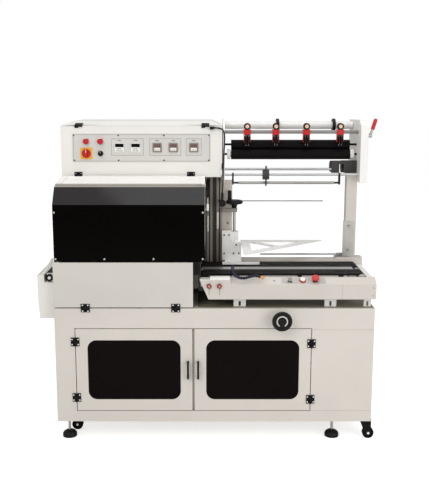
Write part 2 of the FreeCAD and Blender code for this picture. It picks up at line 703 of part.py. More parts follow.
PANEL_Z0 = deck("access_panel_lift")
PANEL_Z1 = deck("access_panel_height + access_panel_lift")
BOX_Y0 = front("box_front")
BOX_Y1 = front("box_front + box_depth")
BOX_Z0 = deck("housing_height")
BOX_Z1 = deck("housing_height + box_height")
TOWER_Y = front("tower_front")


def seal_housing():
    """The sheet walls that stand on the cabinet round the seal jaws."""
    wall = prism("house_left", "YZ",
                 [(front("21"), ZT), (BOX_Y1, ZT), (BOX_Y1, BOX_Z0),
                  (front("exit_width + 21"), BOX_Z0), (front("exit_width + 21"), deck("exit_sill")),
                  (front("21"), deck("exit_sill"))],
                 XL, left("sheet_wall"))
    tower = block("house_tower", XL, "tower_right", TOWER_Y, BOX_Y1, ZT, BOX_Z0)
    inside = block("house_inside", left("sheet_wall"), "tower_right - sheet_wall",
                   "%s + sheet_wall" % TOWER_Y, "%s - sheet_wall" % BOX_Y1,
                   deck("-1"), deck("housing_height + 1"))
    walls = cut("house_walls", tower, [inside])
    return node(fuse("house_joined", [wall, walls]), "seal_housing")


def access_panel():
    """The lower front panel, a shallow pan on two hinges."""
    x0 = left("1")
    x1 = left("access_panel_length + 1")
    outer = block("panel_outer", x0, x1, YF, front("access_panel_depth"), PANEL_Z0, PANEL_Z1)
    hollow = block("panel_hollow", "%s + door_sheet" % x0, "%s - door_sheet" % x1,
                   front("door_sheet"), front("access_panel_depth + 1"),
                   "%s + door_sheet" % PANEL_Z0, "%s - door_sheet" % PANEL_Z1)
    pan = cut("panel_pan", outer, [hollow])
    leaves = []
    for k, x in enumerate((left("141.5"), "-155.5")):
        leaves.append(butt_hinge("panel_hinge%d" % k, "flap_up", x,
                                 front("-hinge_axis_reach"), deck("access_panel_lift / 2")))
    node(group("panel_fittings", [pan] + leaves), "access_panel")


# ----------------------------------------------------------------- hood

HOOD_X0 = left("hood_left_gap")
HOOD_X1 = left("hood_left_gap + hood_length")
HOOD_AXIS_Y = front("box_front - hood_axis_reach")
HOOD_AXIS_Z = deck("housing_height")
HOOD_HINGE_X = [left("78.5"), "-91.5"]


def hood():
    """The hood: top sheet with border and cheeks, and the smoked window."""
    bend = front("hood_slope_run")
    top0 = front("hood_slope_run + 20")
    rear = front("hood_depth")
    z_low = deck("housing_height - hood_slope_top")
    z_high = box_up("hood_top_rear")
    top = prism("hood_top", "YZ",
                [(bend, z_low), (rear, z_high), (rear, z_high + " - hood_sheet"),
                 (bend, z_low + " - hood_sheet")],
                HOOD_X0, HOOD_X1)
    border = prism("hood_border", "YZ",
                   [(top0, z_low), (rear, z_high), (rear, z_high + " + hood_rim_height"),
                    (top0, z_low + " + hood_rim_height + 2")],
                   HOOD_X0, HOOD_X1)
    sunk = prism("hood_sunk", "YZ",
                 [(top0 + " + hood_rim_width", z_low + " + 2.2"),
                  (rear + " - hood_rim_width", z_high + " - 1.2"),
                  (rear + " - hood_rim_width", z_high + " + 30"),
                  (top0 + " + hood_rim_width", z_high + " + 30")],
                 HOOD_X0 + " + hood_rim_width", HOOD_X1 + " - hood_rim_width")
    notches = []
    for k, x in enumerate(HOOD_HINGE_X):
        notches.append(block("hood_notch%d" % k, x + " - hinge_width / 2 - 1",
                             x + " + hinge_width / 2 + 1", rear + " - 18", rear + " + 1",
                             z_high + " - 6", z_high + " + 30"))
    framed = cut("hood_framed", border, [sunk] + notches)
    cheeks = []
    for tag, x0, x1 in (("left", HOOD_X0, HOOD_X0 + " + hood_sheet"),
                        ("right", HOOD_X1 + " - hood_sheet", HOOD_X1)):
        cheeks.append(prism("hood_cheek_" + tag, "YZ",
                            [(front("hood_pane"), deck("hood_cheek_bottom")),
                             (rear + " - 8", deck("hood_cheek_bottom")),
                             (rear + " - 8", z_high + " - 2"), (bend, z_low + " - 2"),
                             (bend, z_low + " - hood_pane * 1.6"),
                             (front("hood_pane"), deck("hood_front_top - 2"))],
                            x0, x1))
    flange = block("hood_flange", HOOD_X1 + " - 14", HOOD_X1 + " + 4", front("60.4"),
                   front("85"), z_low + " - 3", z_low + " + 12")
    stud = rod("hood_stud", "X", "0", SPRING_LOW[0], SPRING_LOW[1], "4",
               HOOD_X1 + " - 1", HOOD_X1 + " + 6")
    frame = fuse("hood_shell", [top, framed, flange, stud] + cheeks)
    leaves = []
    for k, x in enumerate(HOOD_HINGE_X):
        knuckle = rod("hood_knuckle%d" % k, "X", "0", HOOD_AXIS_Y, HOOD_AXIS_Z,
                      "knuckle_radius", x + " + knuckle_gap / 2", x + " + hinge_width / 2")
        tail = block("hood_tail%d" % k, x + " + knuckle_gap / 2", x + " + hinge_width / 2",
                     rear + " - 16", HOOD_AXIS_Y + " - 1", HOOD_AXIS_Z + " - 1",
                     HOOD_AXIS_Z + " + 2")
        joined = fuse("hood_leaf%d" % k, [knuckle, tail])
        bore = rod("hood_leaf_bore%d" % k, "X", "0", HOOD_AXIS_Y, HOOD_AXIS_Z,
                   "hinge_pin_radius + hinge_pin_gap", x, x + " + hinge_width / 2 + 1")
        leaves.append(cut("hood_leaf_bored%d" % k, joined, [bore]))
        fixed = rod("box_knuckle%d" % k, "X", "0", HOOD_AXIS_Y, HOOD_AXIS_Z,
                    "knuckle_radius", x + " - hinge_width / 2", x + " - knuckle_gap / 2")
        pin = rod("box_pin%d" % k, "X", "0", HOOD_AXIS_Y, HOOD_AXIS_Z, "hinge_pin_radius",
                  x + " - hinge_width / 2", x + " + hinge_width / 2")
        foot = block("box_leaf_foot%d" % k, x + " - hinge_width / 2", x + " - knuckle_gap / 2",
                     HOOD_AXIS_Y, BOX_Y0, HOOD_AXIS_Z, HOOD_AXIS_Z + " + 4")
        leaf = block("box_leaf%d" % k, x + " - hinge_width / 2", x + " + hinge_width / 2",
                     BOX_Y0 + " - 1.5", BOX_Y0, HOOD_AXIS_Z + " + 4.5",
                     HOOD_AXIS_Z + " + 25")
        rise = block("box_leaf_rise%d" % k, x + " - hinge_width / 2",
                     x + " - knuckle_gap / 2", BOX_Y0 + " - 1.5", BOX_Y0, HOOD_AXIS_Z,
                     HOOD_AXIS_Z + " + 5")
        FIXED_LEAVES.append(fuse("box_hinge%d" % k, [fixed, pin, foot, leaf, rise]))
    node(group("hood_group", [frame] + leaves), "hood_frame")
    pane = prism("hood_pane_bent", "YZ",
                 [(YF, deck("hood_front_bottom")), (YF, deck("hood_front_top")),
                  (bend, z_low), (bend, z_low + " - hood_pane * 1.6"),
                  (front("hood_pane"), deck("hood_front_top - 2")),
                  (front("hood_pane"), deck("hood_front_bottom"))],
                 HOOD_X0, HOOD_X1)
    node(pane, "hood_window")


# ----------------------------------------------------------- gas spring

SPRING_X = "(%s + 13)" % HOOD_X1
SPRING_TOP = (front("column_front - 20"), deck("housing_height - 21"))
SPRING_LOW = (front("200"), deck("420"))
SPRING_DY = "(column_front - 20 - 200)"
SPRING_DZ = "(housing_height - 21 - 420)"
SPRING_RUN = "sqrt(%s ^ 2 + %s ^ 2)" % (SPRING_DY, SPRING_DZ)


def gas_spring():
    """Cylinder and rod built along Z from the upper pivot, then tilted."""
    eye = rod("spring_eye", "X", "0", "0", "0", "6.5", "-4", "4")
    tube = rod("spring_tube", "Z", "0", "0", "0", "6.5", "5", "105")
    shape = fuse("spring_outer", [eye, tube])
    hole = rod("spring_eye_hole", "X", "0", "0", "0", "3 + journal_gap", "-5", "5")
    bore = rod("spring_bore", "Z", "0", "0", "0", "3.05", "12", "106")
    shell = cut("spring_shell", shape, [hole, bore])
    piston = rod("spring_piston", "Z", "0", "0", "0", "3", "60", "%s - 14" % SPRING_RUN)
    clevis = block("spring_clevis", "-5", "5", "-5", "5", "%s - 30" % SPRING_RUN,
                   "%s + 5" % SPRING_RUN)
    rod_piece = fuse("spring_inner", [piston, clevis])
    for piece, label in ((shell, "gas_spring_cylinder"), (rod_piece, "gas_spring_rod")):
        held = group(label + "_placed", [piece])
        held.Placement = FreeCAD.Placement(FreeCAD.Vector(),
                                           FreeCAD.Rotation(FreeCAD.Vector(1, 0, 0), 90))
        drive(held, "Placement.Rotation.Angle", "180 deg - atan(%s / %s)" % (SPRING_DY, SPRING_DZ))
        place(held, SPRING_X, SPRING_TOP[0], SPRING_TOP[1])
        node(held, label)


# ---------------------------------------------------------- control box

PLATE_Y = "(%s - plate_sheet)" % BOX_Y0
CONTROLLERS = [-427, -351]
TIMERS = [-250, -174, -78]
LAMPS = [-583, -516]
MAIN_X = "-583"
SELECTOR_X = "-516"
PLUG = "11"


def plug_spots():
    """Places of the round bodies that pass through the instrument plate."""
    spots = [(str(x), box_up("lamp_z")) for x in LAMPS]
    return spots + [(MAIN_X, box_up("switch_z")), (SELECTOR_X, box_up("switch_z"))]


def panel_holes(tag, y0, y1):
    """Cut-outs shared by the instrument plate and the box wall."""
    half = "(meter_body / 2 + meter_gap)"
    tools = []
    for k, x in enumerate(CONTROLLERS + TIMERS):
        tools.append(block("%s_meter_hole%d" % (tag, k), "%d - %s" % (x, half),
                           "%d + %s" % (x, half), y0, y1, box_up("meter_z - %s" % half),
                           box_up("meter_z + %s" % half)))
    for k, (x, z) in enumerate(plug_spots()):
        tools.append(rod("%s_plug_hole%d" % (tag, k), "Y", x, "0", z, PLUG, y0, y1))
    return tools


def control_box():
    """The open-topped sheet box and its hinged lid."""
    outer = block("box_outer", XL, "tower_right", BOX_Y0, BOX_Y1, BOX_Z0, BOX_Z1)
    hollow = block("box_hollow", left("box_sheet"), "tower_right - box_sheet",
                   BOX_Y0 + " + box_sheet", BOX_Y1 + " - box_sheet",
                   BOX_Z0 + " + box_sheet", BOX_Z1 + " + 1")
    tools = [hollow] + panel_holes("box", BOX_Y0 + " - 1", BOX_Y0 + " + box_sheet + 1")
    clip = block("box_cable_clip", "-3", "12", BOX_Y0 + " - 15", BOX_Y0, box_up("223"),
                 box_up("237"))
    node(fuse("box_clipped", [cut("box_tray", outer, tools), clip]), "control_box")
    low = (XL, "tower_right", BOX_Y0, BOX_Y1)
    high = (left("lid_hip"), "tower_right - lid_hip", BOX_Y0 + " + lid_slope_run", BOX_Y1)
    base = BOX_Z1 + " + lid_gap"
    skin = loft("lid_skin", low, high, base, base + " + lid_rise")
    low = (left("box_sheet"), "tower_right - box_sheet", BOX_Y0 + " + box_sheet * 3",
           BOX_Y1 + " - box_sheet")
    high = (left("lid_hip + box_sheet"), "tower_right - lid_hip - box_sheet",
            BOX_Y0 + " + lid_slope_run + box_sheet", BOX_Y1 + " - box_sheet")
    core = loft("lid_core", low, high, base, base + " + lid_rise - box_sheet")
    lid = cut("lid_shell", skin, [core])
    leaves = []
    slope = "atan(lid_rise / lid_slope_run)"
    for k, x in enumerate((left("84.5"), "-23.5")):
        y = BOX_Y0 + " - 4"
        z = base
        knuckle = rod("lid_knuckle%d" % k, "X", "0", "0", "0", "knuckle_radius",
                      "knuckle_gap / 2", "18")
        leaf = block("lid_leaf%d" % k, "knuckle_gap / 2", "18", "0", "26", "1", "4")
        wide = block("lid_leaf_wide%d" % k, "-18", "18", "knuckle_radius + 1.5", "36", "1",
                     "4")
        joined = fuse("lid_leaf_joined%d" % k, [knuckle, leaf, wide])
        bore = rod("lid_leaf_bore%d" % k, "X", "0", "0", "0",
                   "hinge_pin_radius + hinge_pin_gap", "-1", "19")
        held = group("lid_leaf_placed%d" % k, [cut("lid_leaf_bored%d" % k, joined, [bore])])
        held.Placement = FreeCAD.Placement(FreeCAD.Vector(),
                                           FreeCAD.Rotation(FreeCAD.Vector(1, 0, 0), 15))
        drive(held, "Placement.Rotation.Angle", slope)
        place(held, x, y, z)
        leaves.append(held)
        low_knuckle = rod("lid_low_knuckle%d" % k, "X", "0", y, z, "knuckle_radius",
                          x + " - 18", x + " - knuckle_gap / 2")
        low_pin = rod("lid_pin%d" % k, "X", "0", y, z, "hinge_pin_radius", x + " - 18",
                      x + " + 18")
        low_leaf = block("lid_low_leaf%d" % k, x + " - 18", x + " - knuckle_gap / 2",
                         BOX_Y0 + " - 3", BOX_Y0, z + " - 9", z + " - 1")
        FIXED_LEAVES.append(fuse("lid_hinge%d" % k, [low_knuckle, low_pin, low_leaf]))
    node(group("lid_group", [lid] + leaves), "control_box_lid")


def instruments():
    """The instrument plate, its meters and lamps, and the two knobs."""
    y1 = BOX_Y0
    x0 = "plate_left"
    sheet_plate = plate("panel_plate", "XZ", x0, x0 + " + plate_length", box_up("plate_bottom"),
                        box_up("plate_bottom + plate_height"), PLATE_Y, y1, "6")
    node(cut("panel_plate_cut", sheet_plate,
             panel_holes("plate", PLATE_Y + " - 1", y1 + " + 1")), "instrument_panel")
    solids = []
    for k, x in enumerate(CONTROLLERS + TIMERS):
        face = plate("meter_face%d" % k, "XZ", "%d - meter_size / 2" % x,
                     "%d + meter_size / 2" % x, box_up("meter_z - meter_size / 2"),
                     box_up("meter_z + meter_size / 2"), PLATE_Y + " - meter_bezel",
                     PLATE_Y, "3")
        body = block("meter_body%d" % k, "%d - meter_body / 2" % x, "%d + meter_body / 2" % x,
                     PLATE_Y, PLATE_Y + " + meter_depth", box_up("meter_z - meter_body / 2"),
                     box_up("meter_z + meter_body / 2"))
        solids.append(fuse("meter%d" % k, [face, body]))
    for k, x in enumerate(LAMPS):
        z = box_up("lamp_z")
        lens = rod("lamp_lens%d" % k, "Y", str(x), "0", z, "lamp_radius",
                   PLATE_Y + " - lamp_reach", PLATE_Y)
        socket = rod("lamp_socket%d" % k, "Y", str(x), "0", z, PLUG, PLATE_Y,
                     PLATE_Y + " + 40")
        solids.append(fuse("lamp%d" % k, [lens, socket]))
    z = box_up("switch_z")
    yellow = plate("main_plate", "XZ", MAIN_X + " - switch_plate_width / 2",
                   MAIN_X + " + switch_plate_width / 2",
                   box_up("switch_z - switch_plate_height / 2"),
                   box_up("switch_z + switch_plate_height / 2"),
                   PLATE_Y + " - switch_plate_sheet", PLATE_Y, "4")
    collar = rod("selector_ring", "Y", SELECTOR_X, "0", z, "selector_radius + 4",
                 PLATE_Y + " - switch_plate_sheet", PLATE_Y)
    for tag, x, seat in (("main", MAIN_X, yellow), ("selector", SELECTOR_X, collar)):
        socket = rod(tag + "_socket", "Y", x, "0", z, PLUG, PLATE_Y, PLATE_Y + " + 40")
        bore = rod(tag + "_bore", "Y", x, "0", z, "knob_shaft_radius + knob_shaft_gap",
                   PLATE_Y + " - 9", PLATE_Y + " + 36")
        solids.append(cut(tag + "_switch", fuse(tag + "_switch_body", [seat, socket]), [bore]))
    node(group("instruments", solids), "panel_instruments")
    for tag, x, radius, depth in (("main_switch", MAIN_X, "main_knob_radius",
                                   "main_knob_depth"),
                                  ("selector", SELECTOR_X, "selector_radius",
                                   "selector_depth")):
        y0 = PLATE_Y + " - switch_plate_sheet - knob_gap"
        base = rod(tag + "_disc", "Y", x, "0", z, radius, y0 + " - 6", y0)
        wing = block(tag + "_wing", "%s - 4.5" % x, "%s + 4.5" % x, y0 + " - " + depth,
                     y0 + " - 5", z + " - %s * 0.95" % radius, z + " + %s * 0.95" % radius)
        shaft = rod(tag + "_shaft", "Y", x, "0", z, "knob_shaft_radius", y0 + " - 3",
                    PLATE_Y + " + 30")
        node(fuse(tag + "_joined", [base, wing, shaft]), tag + "_knob")


# ------------------------------------------------- columns, beam, unwinder

COL_X1 = "(column_left + column_width)"
COL_Y0 = front("column_front")
COL_Y1 = front("column_front + column_depth")
SCREW_Y = front("screw_depth")
SLOT_Y = front("column_front + column_depth / 2")


def left_column():
    """The slotted aluminium column with its bearing and brackets."""
    bar = block("col_bar", "column_left", COL_X1, COL_Y0, COL_Y1, ZT, BOX_Z0)
    middle = "(column_left + column_width / 2)"
    tools = [block("col_channel", middle + " - channel_width / 2",
                   middle + " + channel_width / 2", COL_Y0 + " - 1",
                   COL_Y0 + " + slot_depth", deck("-1"), deck("housing_height + 1"))]
    for tag, x0, x1 in (("left", "column_left - 1", "column_left + slot_depth"),
                        ("right", COL_X1 + " - slot_depth", COL_X1 + " + 1")):
        tools.append(block("col_slot_" + tag, x0, x1, SLOT_Y + " - slot_width / 2",
                           SLOT_Y + " + slot_width / 2", deck("-1"),
                           deck("housing_height + 1")))
    for k, shift in enumerate((-24, 24)):
        tools.append(block("col_front_slot%d" % k, middle + " + %d - 3" % shift,
                           middle + " + %d + 3" % shift, COL_Y0 + " - 1",
                           COL_Y0 + " + 5", deck("-1"), deck("housing_height + 1")))
    profile = cut("col_profile", bar, tools)
    arm = block("col_bearing_arm", COL_X1, "screw_x", SCREW_Y + " - 14", SCREW_Y + " + 14",
                deck("bearing_z"), deck("bearing_z + bearing_height"))
    drum = rod("col_bearing_drum", "Z", "screw_x", SCREW_Y, "0", "14", deck("bearing_z"),
               deck("bearing_z + bearing_height"))
    bore = rod("col_bearing_bore", "Z", "screw_x", SCREW_Y, "0", "screw_radius + screw_gap",
               deck("bearing_z - 1"), deck("bearing_z + bearing_height + 1"))
    bearing = cut("col_bearing", fuse("col_bearing_body", [arm, drum]), [bore])
    ear = block("col_ear", SPRING_X + " + 7", SPRING_X + " + 11", COL_Y0 + " - 27", COL_Y0,
                SPRING_TOP[1] + " - 9", SPRING_TOP[1] + " + 9")
    pin = rod("col_ear_pin", "X", "0", SPRING_TOP[0], SPRING_TOP[1], "3", SPRING_X + " - 5",
              SPRING_X + " + 8")
    eared = fuse("col_ear_joined", [ear, pin])
    rear_post = block("col_rear_post", COL_X1 + " + 0.4", "107", front("396"), front("434"),
                      ZT, deck("unwind_bottom"))
    rear_bolt = rod("col_rear_bolt", "Y", "86", "0", deck("326"), "5", front("393"),
                    front("397"))
    thin = rod("col_thin_rod", "X", "0", front("402"), deck("435"), "3", "106", "550")
    foot = block("col_foot", "column_left - 8", COL_X1 + " + 8", COL_Y0 + " - 12", COL_Y0,
                 ZT, deck("30"))
    carrier = fuse("col_rear_joined", [rear_post, rear_bolt, thin])
    return node(group("column_group", [profile, bearing, eared, carrier, foot]),
                "left_column")


POST_X1 = right("post_right")
POST_X0 = "(%s - post_width)" % POST_X1
POST_Y0 = front("340")
POST_Y1 = front("340 + post_depth")
BEAM_Z1 = deck("rear_beam_bottom + rear_beam_height")


def right_post():
    """The rear beam on its legs, and the post that carries the unwinder."""
    beam = block("post_beam", "61", XR, front("rear_beam_front"),
                 front("rear_beam_front + rear_beam_depth"), deck("rear_beam_bottom"), BEAM_Z1)
    legs = []
    for k, x in enumerate(("66", right("60"))):
        legs.append(block("post_leg%d" % k, x, x + " + 40", front("rear_beam_front + 6"),
                          front("rear_beam_front + rear_beam_depth - 6"), ZT,
                          deck("rear_beam_bottom")))
    carried = fuse("post_beam_joined", [beam] + legs)
    foot = block("post_foot", POST_X0 + " - 45", XR, POST_Y0 + " - 4", POST_Y1, BEAM_Z1,
                 BEAM_Z1 + " + post_foot")
    shaft = block("post_shaft", POST_X0, POST_X1, POST_Y0, POST_Y1,
                  BEAM_Z1 + " + post_foot", deck("post_top"))
    plate_low = block("post_plate", POST_X0 + " - 12", POST_X1 + " - 8", POST_Y0 + " - 5",
                      POST_Y0, deck("171"), deck("346"))
    bolts = [rod("post_bolt%d" % k, "Y", POST_X0 + " + 16", "0", z, "6",
                 POST_Y0 + " - 9", POST_Y0 + " - 5")
             for k, z in enumerate((deck("202"), deck("320")))]
    thin = rod("post_thin_rod", "X", "0", POST_Y0 + " + 12", deck("180"), "4",
               POST_X0 + " - 410", POST_X0)
    tip = rod("post_thin_collar", "X", "0", POST_Y0 + " + 12", deck("180"), "7",
              POST_X0 + " - 38", POST_X0)
    rail = fuse("post_thin_joined", [thin, tip])
    return node(group("post_group", [carried, foot, shaft, plate_low, rail] + bolts),
                "right_post")


UNWIND_X0 = "(tower_right + unwind_left)"
PLATE_L1 = "(%s + unwind_plate)" % UNWIND_X0
HOUSE_X0 = "(%s - unwind_right_width)" % XR
MOTOR_X0 = "(%s - motor_bracket_left)" % HOUSE_X0
ROLL_X0 = "(%s + roller_end_gap)" % PLATE_L1
ROLL_X1 = "(%s - roller_end_gap)" % HOUSE_X0
CRADLE = [(front("cradle_depth"), deck("cradle_z")),
          (front("cradle_depth + cradle_pitch"), deck("cradle_z"))]
FEED = (front("feed_depth"), deck("feed_z"))
PRESS_DY = "12"
PRESS_DZ = "sqrt((feed_radius + press_radius + nip_gap) ^ 2 - 144)"
PRESS = (front("feed_depth + " + PRESS_DY), deck("feed_z + " + PRESS_DZ))
BAR = (front("bar_depth"), deck("bar_z"))
WHEEL_AXIS = (front("bar_depth"), deck("wheel_z"))
DANCER = (front("dancer_depth"), deck("dancer_z"))
LOWER_ROD = (front("dancer_depth"), deck("lower_rod_z"))
UPPER_ROD = (front("365"), deck("upper_rod_z"))
PERFORATORS = [PLATE_L1 + " + 107", PLATE_L1 + " + 243", PLATE_L1 + " + 388",
               HOUSE_X0 + " - 87"]
LEVER = (front("unwind_front + 22"), deck("757"))


def unwind_plates():
    """The two end plates between which the film roll and rollers lie."""
    y0 = front("unwind_left_front")
    y1 = front("unwind_rear")
    bottom = deck("unwind_bottom")
    top = deck("unwind_top")
    flat = prism("unwind_flat", "YZ",
                 [(y0 + " - 10", bottom), (y1, bottom), (y1, top),
                  (y0 + " + 60", top), (y0 + " - 10", top + " - 40")],
                 UNWIND_X0, PLATE_L1)
    spacers = [rod("unwind_spacer%d" % k, "X", "0", y, bottom + " + 60", "9",
                   "tower_right", UNWIND_X0)
               for k, y in enumerate((front("400"), front("560")))]
    z1 = top + " - 0"
    outline = [(front("unwind_front"), bottom), (y1, bottom), (y1, z1),
               (front("unwind_front + 46"), z1), (front("unwind_front"), z1 + " - 26")]
    shell = prism("unwind_house", "YZ", outline, HOUSE_X0, XR)
    wall = "unwind_sheet"
    inner = [(front("unwind_front + unwind_sheet"), bottom + " - 1"),
             (y1 + " - " + wall, bottom + " - 1"), (y1 + " - " + wall, z1 + " - " + wall),
             (front("unwind_front + 47"), z1 + " - " + wall),
             (front("unwind_front + unwind_sheet"), z1 + " - 28")]
    core = prism("unwind_core", "YZ", inner, HOUSE_X0 + " + " + wall, XR + " - " + wall)
    house = cut("unwind_house_hollow", shell, [core])
    bores_left = []
    bores_right = []
    for k, (y, z) in enumerate(CRADLE + [FEED, PRESS]):
        gap = "journal_radius + journal_gap"
        bores_left.append(rod("unwind_bore_l%d" % k, "X", "0", y, z, gap,
                              UNWIND_X0 + " - 1", PLATE_L1 + " + 1"))
        bores_right.append(rod("unwind_bore_r%d" % k, "X", "0", y, z, gap,
                               HOUSE_X0 + " - 1", HOUSE_X0 + " + unwind_sheet + 1"))
    bores_right.append(rod("unwind_lever_bore", "X", "0", LEVER[0], LEVER[1],
                           "lever_radius + journal_gap", XR + " - unwind_sheet - 1",
                           XR + " + 1"))
    left_plate = cut("unwind_left_bored", flat, bores_left)
    right_plate = cut("unwind_right_bored", house, bores_right)
    return node(group("unwind_group", [left_plate, right_plate] + spacers), "unwind_plates")


def guide_rods():
    """Perforator bar, the two fixed film rods, and the dancer's arms."""
    bar = rod("guide_bar", "X", "0", BAR[0], BAR[1], "bar_radius", PLATE_L1, HOUSE_X0)
    upper = rod("guide_upper", "X", "0", UPPER_ROD[0], UPPER_ROD[1], "guide_radius",
                PLATE_L1, MOTOR_X0 + " - 0.3")
    lower = rod("guide_lower", "X", "0", LOWER_ROD[0], LOWER_ROD[1], "guide_radius",
                PLATE_L1, HOUSE_X0)
    arms = []
    spans = (("left", PLATE_L1 + " + 35", PLATE_L1 + " + 43"),
             ("right", HOUSE_X0 + " - 95", HOUSE_X0 + " - 87"))
    for tag, x0, x1 in spans:
        arms.append(block("dancer_arm_" + tag, x0, x1, DANCER[0] + " - 9",
                          DANCER[0] + " + 9", DANCER[1] + " - 8", LOWER_ROD[1] + " + 8"))
    collar = rod("guide_collar", "X", "0", LOWER_ROD[0], LOWER_ROD[1], "24",
                 PLATE_L1 + " + 180", PLATE_L1 + " + 210")
    stud = rod("guide_collar_stud", "Z", PLATE_L1 + " + 195", DANCER[0] + " - 13", "0", "4",
               DANCER[1] + " - 13", LOWER_ROD[1] + " + 42")
    carried = fuse("guide_lower_joined", [lower, collar, stud] + arms)
    bores = [rod("dancer_bore_" + tag, "X", "0", DANCER[0], DANCER[1],
                 "3 + journal_gap", x0 + " - 1", x1 + " + 1")
             for tag, x0, x1 in spans]
    bored = cut("guide_lower_bored", carried, bores)
    return node(group("guide_group", [bar, upper, bored]), "guide_rods")


def perforators():
    """Four perforator arms on the bar and their toothed wheels."""
    solids = []
    wheels = []
    half = "(perforator_width / 2)"
    for k, x in enumerate(PERFORATORS):
        y, z = BAR
        wz = WHEEL_AXIS[1]
        blockish = block("arm_block%d" % k, "%s - 16.5" % x, "%s + 16.5" % x,
                         y + " - 13", y + " + 13", z + " - 13", z + " + 12")
        cap = rod("arm_cap%d" % k, "Y", x, "0", z + " + 26", "16", y + " - 14", y + " + 6")
        knob = rod("arm_knob%d" % k, "Y", x, "0", z + " + 26", "9", y + " - 18",
                   y + " - 13")
        cheeks = []
        for tag, sign in (("a", "-"), ("b", "+")):
            near = "%s %s (%s + 1)" % (x, sign, half)
            far = "%s %s (%s + 4)" % (x, sign, half)
            span = (far, near) if sign == "-" else (near, far)
            cheeks.append(block("arm_cheek%s%d" % (tag, k), span[0], span[1], y + " - 7",
                                y + " + 7", wz + " - 7", z + " - 12"))
        axle = rod("arm_axle%d" % k, "X", "0", y, wz, "4", "%s - (%s + 4)" % (x, half),
                   "%s + (%s + 4)" % (x, half))
        arm = fuse("arm_joined%d" % k, [blockish, cap, knob, axle] + cheeks)
        bore = rod("arm_bore%d" % k, "X", "0", y, z, "bar_radius", "%s - 20" % x,
                   "%s + 20" % x)
        solids.append(cut("arm%d" % k, arm, [bore]))
        disc = rod("perf_disc%d" % k, "X", "0", y, wz, "perforator_radius",
                   "%s - %s" % (x, half), "%s + %s" % (x, half))
        hole = rod("perf_hole%d" % k, "X", "0", y, wz, "4 + journal_gap",
                   "%s - %s - 1" % (x, half), "%s + %s + 1" % (x, half))
        wheels.append(cut("perf_wheel%d" % k, disc, [hole]))
    node(group("arm_group", solids), "perforator_arms")
    node(group("perf_group", wheels), "perforator_wheels")


def roller(label, y, z, radius, x0, x1, journal0, journal1, journal="journal_radius"):
    """A roller with stub journals at both ends."""
    drum = rod(label + "_drum", "X", "0", y, z, radius, x0, x1)
    axle = rod(label + "_axle", "X", "0", y, z, journal, journal0, journal1)
    return [drum, axle]


def unwind_rollers():
    """Cradle, feed, press and dancer rollers, the motor and the lever."""
    ends = (UNWIND_X0, HOUSE_X0 + " + unwind_sheet")
    for k, (label, stops) in enumerate((("cradle_roller_front", True),
                                        ("cradle_roller_rear", False))):
        y, z = CRADLE[k]
        parts = roller(label, y, z, "cradle_radius", ROLL_X0, ROLL_X1, ends[0], ends[1])
        if stops:
            for j, x in enumerate((PLATE_L1 + " + 263", HOUSE_X0 + " - 96")):
                parts.append(rod("cradle_stop%d" % j, "X", "0", y, z, "33", x + " - 7",
                                 x + " + 7"))
        node(fuse(label + "_joined", parts), label)
    drum = (PLATE_L1 + " + 32", HOUSE_X0 + " - 34")
    node(fuse("press_joined", roller("press", PRESS[0], PRESS[1], "press_radius", drum[0],
                                     drum[1], ends[0], ends[1])), "press_roller")
    node(fuse("feed_joined", roller("feed", FEED[0], FEED[1], "feed_radius", drum[0],
                                    drum[1], ends[0], ends[1])), "feed_roller")
    shoulder = rod("dancer_shoulder", "X", "0", DANCER[0], DANCER[1], "4.5",
                   PLATE_L1 + " + 44", HOUSE_X0 + " - 96")
    node(fuse("dancer_joined", roller("dancer", DANCER[0], DANCER[1], "dancer_radius",
                                      PLATE_L1 + " + 64.5", HOUSE_X0 + " - 116.5",
                                      PLATE_L1 + " + 35.5", HOUSE_X0 + " - 87.5",
                                      "3") + [shoulder]),
         "dancer_roller")
    motor_y = front("440")
    motor_z = deck("600")
    can = rod("motor_can", "X", "0", motor_y, motor_z, "30",
              MOTOR_X0 + " + 59", HOUSE_X0)
    gear = rod("motor_gear", "X", "0", motor_y, motor_z, "26",
               MOTOR_X0 + " + 4", MOTOR_X0 + " + 31")
    face = BAR[0] + " + 10"
    sheet_side = block("motor_bracket", MOTOR_X0, HOUSE_X0, face, face + " + 10",
                       deck("post_top + 0.3"), motor_z + " + 34")
    notch = block("motor_notch", MOTOR_X0 + " + 38", MOTOR_X0 + " + 60", face + " - 1", face + " + 11",
                  deck("post_top"), motor_z + " + 17")
    shelf = block("motor_shelf", MOTOR_X0 + " + 4", HOUSE_X0, face, motor_y, motor_z + " + 24",
                  motor_z + " + 28")
    node(fuse("motor_joined", [can, gear, shelf, cut("motor_plate", sheet_side, [notch])]),
         "feed_motor")
    y, z = LEVER
    pin = rod("lever_pin", "X", "0", y, z, "lever_radius", XR + " - unwind_sheet",
              XR + " + 12")
    hub = rod("lever_hub", "X", "0", y, z, "11", XR + " + 0.5", XR + " + 19")
    stick = rod("lever_stick", "Z", "0", "0", "0", "lever_radius", "0", "32")
    grip = rod("lever_grip", "Z", "0", "0", "0", "grip_radius", "28", "72")
    tip = doc.addObject("Part::Sphere", "lever_tip")
    drive(tip, "Radius", "grip_radius")
    tip.Placement = FreeCAD.Placement(FreeCAD.Vector(0, 0, 72), FreeCAD.Rotation())
    arm = group("lever_arm", [fuse("lever_arm_joined", [stick, grip, tip])])
    tilt = FreeCAD.Rotation(FreeCAD.Vector(0, 1, 0), 17)
    place(arm, XR + " + 12.95", y, z, tilt)
    node(fuse("lever_joined", [pin, hub, arm]), "clamp_lever")


# --------------------------------------------------------- film former

